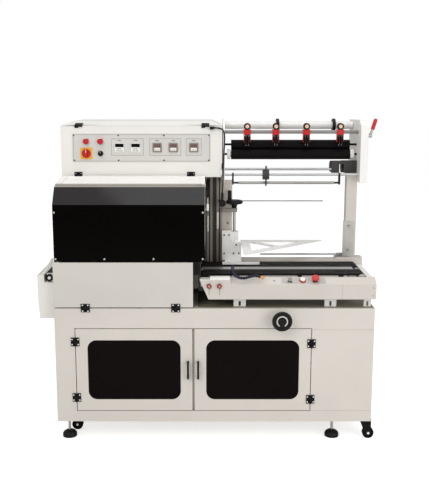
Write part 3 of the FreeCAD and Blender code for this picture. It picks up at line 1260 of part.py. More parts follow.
def former():
    """Handwheel with lead screw, the carriage on it, and the film former."""
    wz = deck("wheel_height")
    x, y = "screw_x", SCREW_Y
    screw = rod("screw", "Z", x, y, "0", "screw_radius", deck("245"), wz)
    hub = cone("screw_hub", "Z", x, y, "0", "11", "19", deck("bearing_z + bearing_height + 1"),
               wz + " + 9")
    rim = ring("screw_rim", "Z", x, y, wz, "wheel_radius - 9", "9")
    parts = [screw, hub, rim]
    for k in range(3):
        spoke = block("screw_spoke%d" % k, "0", "wheel_radius - 6", "-4", "4", "-4", "4")
        held = group("screw_spoke_placed%d" % k, [spoke])
        turn = FreeCAD.Rotation(FreeCAD.Vector(0, 0, 1), 135 + 120 * k)
        parts.append(place(held, x, y, wz, turn))
    reach = "(wheel_radius - 9) * 0.7"
    parts.append(rod("screw_grip", "Z", x + " - " + reach, y + " + " + reach, "0", "9",
                     wz, wz + " + 53"))
    node(fuse("screw_joined", parts), "column_handwheel")

    y0 = front("318")
    y1 = front("326")
    plate_a = block("carriage_plate_a", "57", "100", y0, y1, deck("155"), deck("301"))
    plate_b = block("carriage_plate_b", "100", "former_left", y0, y1, deck("157"), deck("247"))
    nut = block("carriage_nut", "88", "screw_x + 20", y1 + " - 1", SCREW_Y + " + 20",
                deck("250"), deck("294"))
    arm = block("carriage_arm", COL_X1 + " + 0.5", "89", SCREW_Y + " - 6",
                SLOT_Y + " + slot_width / 2 - 0.3", deck("255"), deck("290"))
    shoe = block("carriage_shoe", COL_X1 + " - slot_depth + 0.5", COL_X1 + " + 1",
                 SLOT_Y + " - slot_width / 2 + 0.3", SLOT_Y + " + slot_width / 2 - 0.3",
                 deck("255"), deck("290"))
    shelf = block("carriage_shelf", "70", "former_left", y0 + " - 90", y1, deck("155"),
                  deck("159"))
    bar = block("carriage_bar", "57", "232", y0 + " - 98", y0 + " - 84", deck("155"),
                deck("166"))
    bolts = [rod("carriage_bolt%d" % k, "Y", bx, "0", deck(bz), "4", y0 + " - 3",
                 y0 + " + 1")
             for k, (bx, bz) in enumerate((("67", "190"), ("67", "280"), ("90", "280"),
                                           ("112", "190"), ("138", "190"), ("125", "232")))]
    joined = fuse("carriage_body", [plate_a, plate_b, nut, arm, shoe, shelf, bar] + bolts)
    bore = rod("carriage_bore", "Z", "screw_x", SCREW_Y, "0", "screw_radius + screw_gap",
               deck("249"), deck("295"))
    node(cut("carriage_cut", joined, [bore]), "carriage")

    fx0, fx1 = "former_left", "former_right"
    fy0, fy1 = front("former_front"), front("former_rear")
    z0, z1 = deck("former_z"), deck("former_z + former_thick")
    outer = prism("former_outer", "XY", [(fx0, fy0), (fx1, fy1), (fx0, fy1)], z0, z1)
    slope = "((former_rear - former_front) / (former_right - former_left))"
    wide = "former_bar"
    ix0 = "former_left + " + wide
    iy1 = front("former_rear - " + wide)
    lean = "(%s * sqrt(1 + %s ^ 2))" % (wide, slope)
    iy0 = front("former_front + %s * former_bar + %s" % (slope, lean))
    ix1 = "former_right - (%s + %s) / %s" % (wide, lean, slope)
    inner = prism("former_inner", "XY", [(ix0, iy0), (ix1, iy1), (ix0, iy1)],
                  z0 + " - 1", z1 + " + 1")
    brace = block("former_brace", "-former_bar / 3", "former_bar / 3",
                  "-(former_right - former_left) * 0.62", "-10", "0", "former_thick")
    held = group("former_brace_placed", [brace])
    place(held, fx0, fy1, z0, FreeCAD.Rotation(FreeCAD.Vector(0, 0, 1), 45))
    frame = fuse("former_joined", [cut("former_frame", outer, [inner]), held])
    node(frame, "film_former")


# ------------------------------------------------------------ conveyors

RADIUS_IN = "(roller_radius + belt_gap)"
RADIUS_OUT = "(roller_radius + belt_gap + belt_thickness)"
AXIS_Z = deck("belt_top - %s" % RADIUS_OUT)


def belt(name, x0, x1, y0, y1):
    """An endless belt round two rollers whose axes are at x0 and x1."""
    shapes = []
    for tag, r in (("outer", RADIUS_OUT), ("inner", RADIUS_IN)):
        pad = "0" if tag == "outer" else "1"
        a = "%s - %s" % (y0, pad)
        b = "%s + %s" % (y1, pad)
        run = block("%s_%s_run" % (name, tag), x0, x1, a, b, AXIS_Z + " - " + r,
                    AXIS_Z + " + " + r)
        ends = [rod("%s_%s_end%d" % (name, tag, k), "Y", x, "0", AXIS_Z, r, a, b)
                for k, x in enumerate((x0, x1))]
        shapes.append(fuse("%s_%s" % (name, tag), [run] + ends))
    return cut(name, shapes[0], [shapes[1]])


OUT_X0 = "(%s - out_roller_reach)" % XL
OUT_X1 = "(out_belt_right - %s)" % RADIUS_OUT
OUT_Y0 = front("out_belt_front")
OUT_Y1 = front("out_belt_front + out_belt_width")


def bed(tag, x0, x1, y0, y1, turning):
    """Slide bed under a belt's upper run, with a fixed nose at one end."""
    nose, far = (x1, x0) if turning == "left" else (x0, x1)
    solid_end = rod(tag + "_nose", "Y", nose, "0", AXIS_Z, "roller_radius", y0, y1)
    start = "%s + roller_radius + 4" % x0 if turning == "left" else x0
    end = x1 if turning == "left" else "%s - roller_radius - 4" % x1
    table = block(tag + "_table", start, end, y0, y1, AXIS_Z + " + 9",
                  AXIS_Z + " + roller_radius")
    return [solid_end, table]


def outfeed():
    """Outfeed conveyor: rails, bed and legs, cover and guard, belt, roller."""
    rails = []
    y_in = "%s - rail_gap" % OUT_Y0
    y_out = "%s + rail_gap" % OUT_Y1
    z0, z1 = deck("belt_top + 2 - rail_height + 6"), deck("belt_top + 2")
    for k, (a, b) in enumerate(((y_in + " - rail_sheet", y_in),
                                (y_out, y_out + " + rail_sheet"))):
        rails.append(block("out_rail%d" % k, OUT_X0 + " - 12", "out_belt_right", a, b, z0, z1))
        for j, x in enumerate((left("60"), "-180")):
            rails.append(block("out_leg%d%d" % (k, j), x, x + " + 40", a, b, ZT, z0))
    webs = [block("out_web%d" % k, x, x + " + 12", y_in, y_out, AXIS_Z + " - 8",
                  AXIS_Z + " + 10")
            for k, x in enumerate((left("40"), left("280"), "-160"))]
    bases = bed("out", OUT_X0, OUT_X1, OUT_Y0, OUT_Y1, "left")
    tie = rod("out_nose_tie", "Y", OUT_X1, "0", AXIS_Z, "axle_radius", y_in, y_out)
    joined = fuse("out_joined", rails + webs + bases + [tie])
    bore = rod("out_bore", "Y", OUT_X0, "0", AXIS_Z, "axle_radius + axle_gap",
               y_in + " - rail_sheet - 1", y_out + " + rail_sheet + 1")
    frame = cut("out_frame", joined, [bore])
    cx0, cx1 = left("-left_overhang"), XL
    cz0, cz1, cz2 = deck("-out_cover_bottom"), deck("out_cover_lap"), deck("out_cover_top")
    strip = cx0 + " + out_cover_strip"
    cy0, cy1 = front("out_cover_front"), front("out_cover_front + out_cover_depth")
    outline = [(cx0 + " + 6", cz0), (cx1, cz0), (cx1, cz1), (strip, cz1), (strip, cz2),
               (cx0, cz2), (cx0, cz0 + " + 80")]
    shell = prism("out_cover", "XZ", outline, cy0, cy1)
    wall = "cover_sheet"
    hollow = block("out_cover_hollow", cx0 + " + 8", cx1 + " + 1", cy0 + " + " + wall,
                   cy1 + " - " + wall, cz0 + " + " + wall, cz1 + " - " + wall)
    cover = cut("out_cover_shell", shell, [hollow])
    screws = [rod("out_screw%d" % k, "Y", cx0 + " + " + dx, "0", z, "4", cy0 + " - 2", cy0)
              for k, (dx, z) in enumerate((("20", deck("123")), ("8", deck("93"))))]
    gx = cx0 + " + 20"
    rise = "(out_guard_top - out_cover_top)"
    guard = prism("out_guard", "XZ",
                  [(gx, cz2), (gx + " + 7", cz2), (XL + " - 5", deck("out_guard_top - 12")),
                   (XL + " - 5", deck("out_guard_top")), (XL + " - 12", deck("out_guard_top"))],
                  cy0, cy0 + " + 7")
    node(group("out_group", [frame, cover, guard] + screws), "outfeed_frame")
    node(belt("outfeed_loop", OUT_X0, OUT_X1, OUT_Y0, OUT_Y1), "outfeed_belt")
    drum = rod("out_drum", "Y", OUT_X0, "0", AXIS_Z, "roller_radius",
               y_in + " + axle_step", y_out + " - axle_step")
    axle = rod("out_axle", "Y", OUT_X0, "0", AXIS_Z, "axle_radius",
               y_in + " - rail_sheet - 4", y_out + " + rail_sheet + 2")
    cap = rod("out_cap", "Y", OUT_X0, "0", AXIS_Z, "roller_radius",
              y_in + " - rail_sheet - 6", y_in + " - rail_sheet - 1")
    hub = rod("out_hub", "Y", OUT_X0, "0", AXIS_Z, "7", y_in + " - rail_sheet - 7.5",
              y_in + " - rail_sheet - 6")
    node(fuse("out_roller_joined", [drum, axle, cap, hub]), "outfeed_roller")


IN_X0 = "(infeed_left + %s)" % RADIUS_OUT
IN_X1 = right("(infeed_right_gap + %s)" % RADIUS_OUT)
IN_P0 = "infeed_plate_front"
IN_P1 = "(infeed_plate_front + infeed_plate)"
IN_B0 = "(%s + belt_side_gap)" % IN_P1
IN_B1 = "(%s + front_belt_width)" % IN_B0
IN_C1 = "(%s + centre_strip_width)" % IN_B1
IN_D1 = "(%s + rear_belt_width)" % IN_C1
IN_Q0 = "(%s + belt_side_gap)" % IN_D1
IN_Q1 = "(%s + infeed_plate)" % IN_Q0


def infeed():
    """Infeed conveyor body: plates, beds, strip, brackets, belts, roller."""
    z0, z1 = deck("infeed_plate_bottom"), deck("infeed_plate_bottom + infeed_plate_height - 8")
    x1 = right("8")
    parts = []
    for k, (a, b) in enumerate(((IN_P0, IN_P1), (IN_Q0, IN_Q1))):
        parts.append(block("in_plate%d" % k, "infeed_left + 2", x1, front(a), front(b), z0, z1))
    for k, x in enumerate(("infeed_left + 60", "180", "400", right("150"))):
        parts.append(block("in_web%d" % k, x, x + " + 12", front(IN_P1), front(IN_Q0),
                           AXIS_Z + " - 8", AXIS_Z + " + 10"))
    parts += bed("in_front", IN_X0, IN_X1, front(IN_B0), front(IN_B1), "right")
    parts += bed("in_rear", IN_X0, IN_X1, front(IN_C1), front(IN_D1), "right")
    parts.append(block("in_strip", "infeed_left + 4", "%s - roller_radius - 4" % IN_X1,
                       front(IN_B1 + " + 1.5"), front(IN_C1 + " - 1.5"), AXIS_Z + " - 4",
                       deck("belt_top")))
    parts.append(rod("in_nose_tie", "Y", IN_X0, "0", AXIS_Z, "axle_radius", front(IN_P1),
                     front(IN_Q0)))
    parts.append(block("in_end", right("(infeed_right_gap - 4)"), x1, front(IN_P0),
                       front(IN_Q1), z1 + " - 4", z1))
    body = fuse("in_joined", parts)
    bore = rod("in_bore", "Y", IN_X1, "0", AXIS_Z, "axle_radius + axle_gap",
               front(IN_P0 + " - 1"), front(IN_Q1 + " + 1"))
    solids = [cut("in_frame", body, [bore])]
    for k, (bx0, bx1) in enumerate(BRACKETS):
        y0, y1 = front(BRACKET_Y[0] + " + 2"), front(BRACKET_Y[1])
        arm = block("in_bracket%d" % k, bx0, bx1, y0, y1, deck("-70"), deck("126"))
        slot = plate("in_bracket_slot%d" % k, "XZ", "(%s + %s) / 2 - 5" % (bx0, bx1),
                     "(%s + %s) / 2 + 5" % (bx0, bx1), deck("2"), deck("26"),
                     y0 + " - 1", y1 + " + 1", "4.9")
        solids.append(cut("in_bracket_cut%d" % k, arm, [slot]))
        for j, z in enumerate(("100", "116")):
            solids.append(rod("in_bracket_bolt%d%d" % (k, j), "Y", "(%s + %s) / 2" % (bx0, bx1),
                              "0", deck(z), "4", y0 + " - 3", y0))
    node(group("in_group", solids), "infeed_frame")
    node(group("in_belts", [
        belt("in_belt_front", IN_X0, IN_X1, front(IN_B0), front(IN_B1)),
        belt("in_belt_rear", IN_X0, IN_X1, front(IN_C1), front(IN_D1))]), "infeed_belts")
    drum = rod("in_drum", "Y", IN_X1, "0", AXIS_Z, "roller_radius",
               front(IN_P1 + " + axle_step"), front(IN_Q0 + " - axle_step"))
    axle = rod("in_axle", "Y", IN_X1, "0", AXIS_Z, "axle_radius", front(IN_P0),
               front(IN_Q1 + " + 4"))
    node(fuse("in_roller_joined", [drum, axle]), "infeed_roller")


CZ0 = deck("cover_bottom")
CZ1 = deck("cover_bend")
CZ2 = deck("cover_top")
COVER_X1 = right("-3")
SLOPE = "atan((cover_top - cover_bend) / cover_slope_run)"
SLOPE_Y = front("cover_slope_run / 2")
SLOPE_Z = deck("(cover_top + cover_bend) / 2")


def tilted(name, pieces, x):
    """Stand pieces built along Z on the middle of the cover's slope."""
    held = group(name, pieces)
    held.Placement = FreeCAD.Placement(FreeCAD.Vector(),
                                       FreeCAD.Rotation(FreeCAD.Vector(1, 0, 0), 43))
    drive(held, "Placement.Rotation.Angle", SLOPE)
    return place(held, x, SLOPE_Y, SLOPE_Z)


def infeed_cover():
    """The bent cover along the front, its strip and collars, and buttons."""
    s = "cover_sheet"
    run = "cover_slope_run"
    outline = [(YF, CZ0), (YF, CZ1), (front(run), CZ2), (front(run), CZ2 + " - %s * 1.45" % s),
               (front(s), CZ1 + " - 0.8"), (front(s), CZ0)]
    main = prism("cover_main", "YZ", outline, "cover_step_x", COVER_X1)
    end = prism("cover_end", "YZ",
                [(YF, CZ0), (YF, CZ1), (front(run), CZ2), (front(run), CZ2 + " - 12"),
                 (front("infeed_plate_front - 8"), CZ0)],
                COVER_X1 + " - " + s, COVER_X1)
    face = prism("cover_face", "XZ",
                 [("cover_left + cover_slant", CZ0), ("cover_step_x", CZ0),
                  ("cover_step_x", deck("cover_step_top")),
                  ("cover_left", deck("cover_step_top"))],
                 YF, front(s))
    top = block("cover_left_top", "cover_left", "cover_step_x", YF, front("31"),
                deck("cover_step_top"), deck("cover_step_top") + " + " + s)
    raised = block("cover_raised", "-2", "cover_step_x", front("1"), front("31"),
                   deck("cover_step_top"), CZ2 + " + 7")
    cheek = prism("cover_cheek", "YZ",
                  [(YF, CZ0), (front("24"), CZ0), (front("31"), CZ1), (front("31"), CZ2 + " - 4"),
                   (YF, deck("cover_step_top"))],
                  "cover_step_x - 1", "cover_step_x + 2")
    rib = "(infeed_plate_front - 1)"
    ribs = [block("cover_rib%d" % k, x, x + " + 4", front("1"), front("infeed_plate_front"),
                  deck("96"), deck("106"))
            for k, x in enumerate(("180", "260", "590", right("60")))]
    sheet_body = fuse("cover_joined", [main, end, face, top, raised, cheek] + ribs)
    spots = ["start_x", "reset_x", "stop_x"]
    stems = "(button_stem_radius + button_stem_gap)"
    bush_r = "(button_stem_radius + 3)"
    holes = [tilted("cover_hole%d" % k, [rod("cover_hole_rod%d" % k, "Z", "0", "0", "0",
                                             bush_r, "-9", "6")], x)
             for k, x in enumerate(spots)]
    shell = cut("cover_shell", sheet_body, holes)
    strip = block("cover_strip", "0", "panel_strip_length", "-17", "17", "0", "1")
    stripped = tilted("cover_strip_tilted", [strip], "panel_strip_left")
    stripped = cut("cover_strip_cut", stripped, holes)
    solids = [shell, stripped]
    for k, x in enumerate(spots):
        outer = fuse("collar_body%d" % k, [
            rod("collar_ring%d" % k, "Z", "0", "0", "0", "collar_radius", "1",
                "1 + collar_height"),
            rod("collar_bush%d" % k, "Z", "0", "0", "0", bush_r, "-9", "2")])
        bore = rod("collar_bore%d" % k, "Z", "0", "0", "0", stems, "-13", "6")
        solids.append(tilted("collar%d" % k, [cut("collar_cut%d" % k, outer, [bore])], x))
    dot = rod("cover_dot", "Z", "0", "0", "0", "4", "0", "1.5")
    solids.append(tilted("cover_dot_tilted", [dot], "286"))
    node(group("cover_group", solids), "infeed_cover")
    low = "1 + collar_height + button_travel + 0.3"
    for label, x, radius, height in (("start_button", "start_x", "button_radius",
                                      "button_height"),
                                     ("reset_button", "reset_x", "button_radius",
                                      "button_height"),
                                     ("emergency_stop", "stop_x", "stop_radius",
                                      "stop_height")):
        stem = rod(label + "_stem", "Z", "0", "0", "0", "button_stem_radius", "-10",
                   low + " + 1")
        if label == "emergency_stop":
            cap = cone(label + "_cap", "Z", "0", "0", "0", "10", radius, low, height + " - 7")
            dome = rod(label + "_dome", "Z", "0", "0", "0", radius, height + " - 7", height)
            caps = [cap, dome]
        else:
            caps = [rod(label + "_cap", "Z", "0", "0", "0", radius, low, low + " + 4")]
        node(tilted(label + "_tilted", [fuse(label + "_joined", [stem] + caps)], x), label)


# ------------------------------------------------------------ seal jaws

def jaw_plan(tag, z0, z1):
    """The L of a jaw: front bar, side bar and the two bush blocks."""
    x0 = "(jaw_side_x - jaw_side_width / 2)"
    x1 = "(jaw_side_x + jaw_side_width / 2)"
    parts = [block(tag + "_bar", "jaw_column_x", x1, front("jaw_front"),
                   front("jaw_front + jaw_width"), z0, z1),
             block(tag + "_side", x0, x1, front("jaw_front"), front("jaw_column_rear"),
                   z0, z1)]
    for k, (x, y) in enumerate(COLUMN_SPOTS):
        parts.append(rod("%s_bush%d" % (tag, k), "Z", x, y, "0", "jaw_bush_radius - 4",
                         z0, z1))
    return parts


def seal_jaws():
    """Fixed lower jaw on legs, upper jaw on its two guide columns."""
    z0, z1 = deck("jaw_top - jaw_height"), deck("jaw_top")
    parts = jaw_plan("lower", z0, z1)
    for k, x in enumerate(("-600", "-340", "-180")):
        parts.append(block("lower_leg%d" % k, x, x + " + 30", front("jaw_front + 2"),
                           front("jaw_front + jaw_width - 2"), ZT, z0))
    parts.append(block("lower_leg_rear", "jaw_side_x - 12", "jaw_side_x + 12", front("300"),
                       front("340"), ZT, z0))
    body = fuse("lower_joined", parts)
    bores = [rod("lower_bore%d" % k, "Z", x, y, "0", "jaw_column_radius + jaw_column_gap",
                 z0 + " - 1", z1 + " + 1") for k, (x, y) in enumerate(COLUMN_SPOTS)]
    node(cut("lower_cut", body, bores), "lower_seal_jaw")
    up0, up1 = deck("jaw_top + jaw_stroke"), deck("jaw_top + jaw_stroke + jaw_height")
    parts = jaw_plan("upper", up0, up1)
    for k, (x, y) in enumerate(COLUMN_SPOTS):
        parts.append(rod("upper_column%d" % k, "Z", x, y, "0", "jaw_column_radius",
                         deck("-jaw_column_tail"), up1 + " + 6"))
    node(fuse("upper_joined", parts), "upper_seal_jaw")


# ------------------------------------------------- handwheel, feet, wheels

def front_handwheel():
    """The handwheel on the beam that sets the infeed height."""
    x, z = "front_wheel_x", "front_wheel_z"
    y0 = front("-handwheel_reach")
    rim = ring("fw_rim", "Y", x, y0 + " + 7", z, "front_wheel_radius - 7", "7")
    disc = rod("fw_disc", "Y", x, "0", z, "front_wheel_radius - 9", y0 + " + 5", y0 + " + 11")
    boss = rod("fw_boss", "Y", x, "0", z, "20", y0 + " + 2", YF + " - 3")
    cap = rod("fw_cap", "Y", x, "0", z, "9", y0, y0 + " + 3")
    shaft = rod("fw_shaft", "Y", x, "0", z, "wheel_shaft_radius", y0 + " + 8",
                front("wheel_bush_depth - 2"))
    node(fuse("fw_joined", [rim, disc, boss, cap, shaft]), "front_handwheel")


def feet():
    """Four levelling feet screwed into the floor bars."""
    solids = []
    for i, x in enumerate(FOOT_X):
        for j, y in enumerate(FOOT_Y):
            tag = "foot%d%d" % (i, j)
            parts = [rod(tag + "_pad", "Z", x, y, "0", "foot_radius", "0", "9"),
                     cone(tag + "_cone", "Z", x, y, "0", "foot_radius - 6", "12", "9", "22"),
                     rod(tag + "_nut", "Z", x, y, "0", "10", "22", "30"),
                     rod(tag + "_lock", "Z", x, y, "0", "10", "%s - 8" % ZB, ZB),
                     rod(tag + "_stem", "Z", x, y, "0", "foot_stem", "9", BAR_TOP)]
            solids.append(fuse(tag, parts))
    node(group("feet", solids), "levelling_feet")


AXLE_Z = "wheel_caster_radius"


def fork(tag, x, y, y_axle, top):
    """Two cheeks, a crown plate and the axle of one caster."""
    half = "(caster_width / 2 + fork_gap)"
    y0, y1 = "%s - 12" % y_axle, "%s + 12" % y_axle
    crown_z = "(leg_height - 12)"
    parts = [block(tag + "_crown", x + " - %s - fork_sheet" % half,
                   x + " + %s + fork_sheet" % half, y + " - 24", y1, crown_z,
                   crown_z + " + 4"),
             rod(tag + "_neck", "Z", x, y, "0", "14", crown_z, top),
             rod(tag + "_pin", "X", "0", y_axle, AXLE_Z, "4", x + " - %s - fork_sheet" % half,
                 x + " + %s + fork_sheet" % half)]
    for k, (a, b) in enumerate(((x + " - %s - fork_sheet" % half, x + " - " + half),
                                (x + " + " + half, x + " + %s + fork_sheet" % half))):
        parts.append(prism("%s_cheek%d" % (tag, k), "YZ",
                           [(y0, AXLE_Z + " - 10"), (y1, AXLE_Z + " - 10"),
                            (y1, crown_z + " + 2"), (y + " - 24", crown_z + " + 2")], a, b))
    return parts


def wheel(tag, x, y):
    """A caster wheel with its bore."""
    disc = rod(tag + "_disc", "X", "0", y, AXLE_Z, "wheel_caster_radius",
               x + " - caster_width / 2", x + " + caster_width / 2")
    bore = rod(tag + "_bore", "X", "0", y, AXLE_Z, "4 + journal_gap",
               x + " - caster_width / 2 - 1", x + " + caster_width / 2 + 1")
    return cut(tag, disc, [bore])


def casters():
    """Two swivel casters in front, two fixed ones behind."""
    turn = FreeCAD.Rotation(FreeCAD.Vector(0, 0, 1), -90)
    for side, x, y in (("left", CASTER_X[0], CASTER_Y[0]), ("right", CASTER_X[1], CASTER_Y[1])):
        parts = fork(side + "_fork", "0", "0", "caster_trail", "%s - 1" % ZB)
        parts.append(rod(side + "_stem", "Z", "0", "0", "0", "caster_stem", "%s - 3" % ZB,
                         BAR_TOP))
        held = group(side + "_fork_held", [fuse(side + "_fork_joined", parts)])
        node(place(held, x, y, "0", turn), side + "_caster_fork")
        held = group(side + "_wheel_held", [wheel(side + "_wheel", "0", "caster_trail")])
        node(place(held, x, y, "0", turn), side + "_caster_wheel")
    forks = []
    wheels = []
    for k, x in enumerate(REAR_CASTER_X):
        y_axle = REAR_CASTER_Y
        forks.append(fuse("rear_fork_joined%d" % k,
                          fork("rear_fork%d" % k, x, y_axle, y_axle, ZB)))
        wheels.append(wheel("rear_wheel%d" % k, x, y_axle))
    node(group("rear_forks", forks), "rear_caster_forks")
    node(group("rear_wheels", wheels), "rear_caster_wheels")


# --------------------------------------------------------- hose and cable

HOSE = [(104, -207, 795.8), (102, -262, 800), (98, -330, 801), (104, -354, 792),
        (124, -366, 781), (152, -366, 777), (182, -358, 785), (206, -354, 788),
        (228, -362, 782)]
CABLE = [(12, -80, 1432), (46, -80, 1433), (66, -80, 1415), (67, -79, 1370),
         (63, -80, 1300), (61, -79, 1235), (60, -80, 1180), (57, -80, 1128)]


def tube(label, points, radius):
    """A round cord of straight runs joined by tangent arcs."""
    spots = [FreeCAD.Vector(*p) for p in points]
    edges = []
    at = spots[0]
    for k in range(1, len(spots) - 1):
        before = spots[k - 1] - spots[k]
        after = spots[k + 1] - spots[k]
        half_turn = (math.pi - before.getAngle(after)) / 2
        reach = 0.45 * min(before.Length, after.Length)
        first = spots[k] + FreeCAD.Vector(before).normalize() * reach
        last = spots[k] + FreeCAD.Vector(after).normalize() * reach
        bisector = (FreeCAD.Vector(before).normalize() + FreeCAD.Vector(after).normalize())
        bend = reach / math.tan(half_turn)
        bisector.normalize()
        centre = spots[k] + bisector * math.hypot(reach, bend)
        middle = centre - bisector * bend
        print("bend of %s at point %d: radius %.1f" % (label, k, bend))
        edges.append(Part.makeLine(at, first))
        edges.append(Part.Arc(first, middle, last).toShape())
        at = last
    edges.append(Part.makeLine(at, spots[-1]))
    path = Part.Wire(edges)
    girth = Part.Wire(Part.makeCircle(radius, spots[0], spots[1] - spots[0]))
    piece = doc.addObject("Part::Feature", label)
    piece.Shape = path.makePipeShell([girth], True, False)
    run = sum(edge.Length for edge in edges)
    print("%s: length %.0f, volume off by %.2f %%" % (
        label, run, 100 * (piece.Shape.Volume / (math.pi * radius ** 2 * run) - 1)))
    return node(piece, label)


def photo_sensor():
    """Round film sensor on its bracket, with the cable's boot."""
    disc = rod("sensor_disc", "Y", "57", "0", deck("437"), "16.5", front("282"), front("306"))
    boot = rod("sensor_boot", "Z", "57", front("292"), "0", "6", deck("450"), deck("488"))
    arm = block("sensor_arm", "44", "54", front("304"), COL_Y0, deck("426"), deck("448"))
    return node(fuse("sensor_joined", [disc, boot, arm]), "photo_sensor")


cabinet_frame()
rear_panel()
LEFT_X1 = "(mullion_x - door_meeting_gap / 2)"
RIGHT_X0 = "(mullion_x + door_meeting_gap / 2)"
door("left", "(%s + door_gap)" % DOOR_L0, LEFT_X1, "(%s + 1.5)" % DOOR_L0, "door_left",
     "(%s - door_handle_inset - 4.5)" % LEFT_X1, ("485", "221"))
door("right", RIGHT_X0, "(%s - door_gap)" % DOOR_R1, "(%s - 1.5)" % DOOR_R1, "door_right",
     "(%s + door_handle_inset + 1.5)" % RIGHT_X0, ("477", "212"))
seal_housing()
access_panel()
hood()
gas_spring()
control_box()
instruments()
left_column()
right_post()
unwind_plates()
guide_rods()
perforators()
unwind_rollers()
former()
outfeed()
infeed()
infeed_cover()
seal_jaws()
front_handwheel()
feet()
casters()
photo_sensor()
tube("air_hose", HOSE, float(sheet.get("hose_radius")))
tube("sensor_cable", CABLE, float(sheet.get("cable_radius")))
node(group("fixed_leaves", FIXED_LEAVES), "hinge_fixed_leaves")

doc.recompute()
for item in doc.Objects:
    if "Invalid" in item.State or "Error" in item.State:
        raise RuntimeError("%s: %s" % (item.Label, item.State))
for piece in NODES:
    if piece.Shape.isNull() or not piece.Shape.isValid():
        raise RuntimeError("bad shape: %s" % piece.Label)
    piece.Shape.exportStep("parts/%s.step" % piece.Label)
bounds = FreeCAD.BoundBox()
for piece in NODES:
    bounds.add(piece.Shape.BoundBox)
print("%d nodes, bounds %s" % (len(NODES), bounds))
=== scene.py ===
import math

import bmesh
import bpy
from bpy.props import FloatProperty, IntProperty, StringProperty
from mathutils import Matrix, Vector


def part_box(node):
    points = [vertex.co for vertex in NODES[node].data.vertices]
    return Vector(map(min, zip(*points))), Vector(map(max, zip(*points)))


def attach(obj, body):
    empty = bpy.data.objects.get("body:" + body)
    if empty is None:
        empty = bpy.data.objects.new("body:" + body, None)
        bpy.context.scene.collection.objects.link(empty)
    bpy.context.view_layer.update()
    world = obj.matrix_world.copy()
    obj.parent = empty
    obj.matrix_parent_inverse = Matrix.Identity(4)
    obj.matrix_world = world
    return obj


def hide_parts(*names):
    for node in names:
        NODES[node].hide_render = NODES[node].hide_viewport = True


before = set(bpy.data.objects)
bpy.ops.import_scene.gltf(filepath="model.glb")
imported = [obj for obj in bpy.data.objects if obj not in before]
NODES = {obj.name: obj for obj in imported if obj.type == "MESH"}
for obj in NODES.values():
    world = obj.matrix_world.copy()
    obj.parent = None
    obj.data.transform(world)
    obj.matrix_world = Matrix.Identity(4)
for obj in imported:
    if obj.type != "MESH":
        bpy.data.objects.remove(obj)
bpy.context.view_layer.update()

bl_info = {
    "name": "L bar sealer dressing",
    "version": (1, 0, 0),
    "blender": (4, 5, 0),
    "location": "View3D > Sidebar > Sealer",
    "description": "Finishes, small fittings and studio for a packaging sealer",
    "category": "Object",
}

MM = 0.001


# ------------------------------------------------------------- node tools

def linear(hex_colour):
    """An sRGB hex colour as linear RGBA."""
    channels = [int(hex_colour[k:k + 2], 16) / 255 for k in (1, 3, 5)]
    return [c / 12.92 if c <= 0.04045 else ((c + 0.055) / 1.055) ** 2.4
            for c in channels] + [1.0]


def add(tree, kind, settings=None, **links):
    """One shader node with its settings; links name sockets by word."""
    made = tree.nodes.new(kind)
    for key, value in (settings or {}).items():
        if hasattr(made, key) and key not in made.inputs:
            setattr(made, key, value)
        else:
            made.inputs[key].default_value = value
    for key, source in links.items():
        tree.links.new(source, made.inputs[key.replace("_", " ")])
    return made


def shade_of(colour, factor):
    """A lighter or darker copy of a linear colour."""
    return [min(1.0, c * factor) for c in colour[:3]] + [1.0]


def start(name):
    """An empty material and its object coordinates."""
    material = bpy.data.materials.new(name)
    material.use_nodes = True
    tree = material.node_tree
    tree.nodes.clear()
    coords = add(tree, "ShaderNodeTexCoord")
    return material, tree, coords.outputs["Object"]


def close(tree, shader):
    """Send a shader to the material output."""
    output = add(tree, "ShaderNodeOutputMaterial")
    tree.links.new(shader.outputs[0], output.inputs["Surface"])


def mottled(tree, coords, colour, size_mm, amount):
    """A colour that wanders a little over patches of a real size."""
    noise = add(tree, "ShaderNodeTexNoise", {"Scale": 1 / (size_mm * MM), "Detail": 3.0},
                Vector=coords)
    ramp = add(tree, "ShaderNodeValToRGB", Fac=noise.outputs["Fac"])
    ramp.color_ramp.elements[0].position = 0.3
    ramp.color_ramp.elements[1].position = 0.7
    ramp.color_ramp.elements[0].color = shade_of(colour, 1 - amount)
    ramp.color_ramp.elements[1].color = shade_of(colour, 1 + amount)
    return ramp.outputs["Color"]


def roughness_band(tree, coords, size_mm, low, high):
    """Roughness that varies between two values over patches."""
    noise = add(tree, "ShaderNodeTexNoise", {"Scale": 1 / (size_mm * MM), "Detail": 4.0},
                Vector=coords)
    band = add(tree, "ShaderNodeMapRange", {"From Min": 0.3, "From Max": 0.7,
                                            "To Min": low, "To Max": high},
               Value=noise.outputs["Fac"])
    return band.outputs["Result"]


# -------------------------------------------------------------- materials

def powder_coat(name, hex_colour, low=0.38, high=0.5, edge_mm=1.2, specular=0.4):
    """Powder-coated sheet steel: even colour, faint orange peel, soft edges."""
    material, tree, coords = start(name)
    colour = mottled(tree, coords, linear(hex_colour), 160, 0.025)
    rough = roughness_band(tree, coords, 60, low, high)
    # orange peel of a sprayed powder is about 2 mm across
    peel = add(tree, "ShaderNodeTexNoise", {"Scale": 1 / (2.2 * MM), "Detail": 2.0},
               Vector=coords)
    rounded = add(tree, "ShaderNodeBevel", {"samples": 4, "Radius": edge_mm * MM})
    bump = add(tree, "ShaderNodeBump", {"Strength": 0.05, "Distance": 0.2 * MM},
               Height=peel.outputs["Fac"], Normal=rounded.outputs["Normal"])
    shader = add(tree, "ShaderNodeBsdfPrincipled",
                 {"IOR": 1.5, "Specular IOR Level": specular},
                 Base_Color=colour, Roughness=rough, Normal=bump.outputs["Normal"])
    close(tree, shader)
    return material


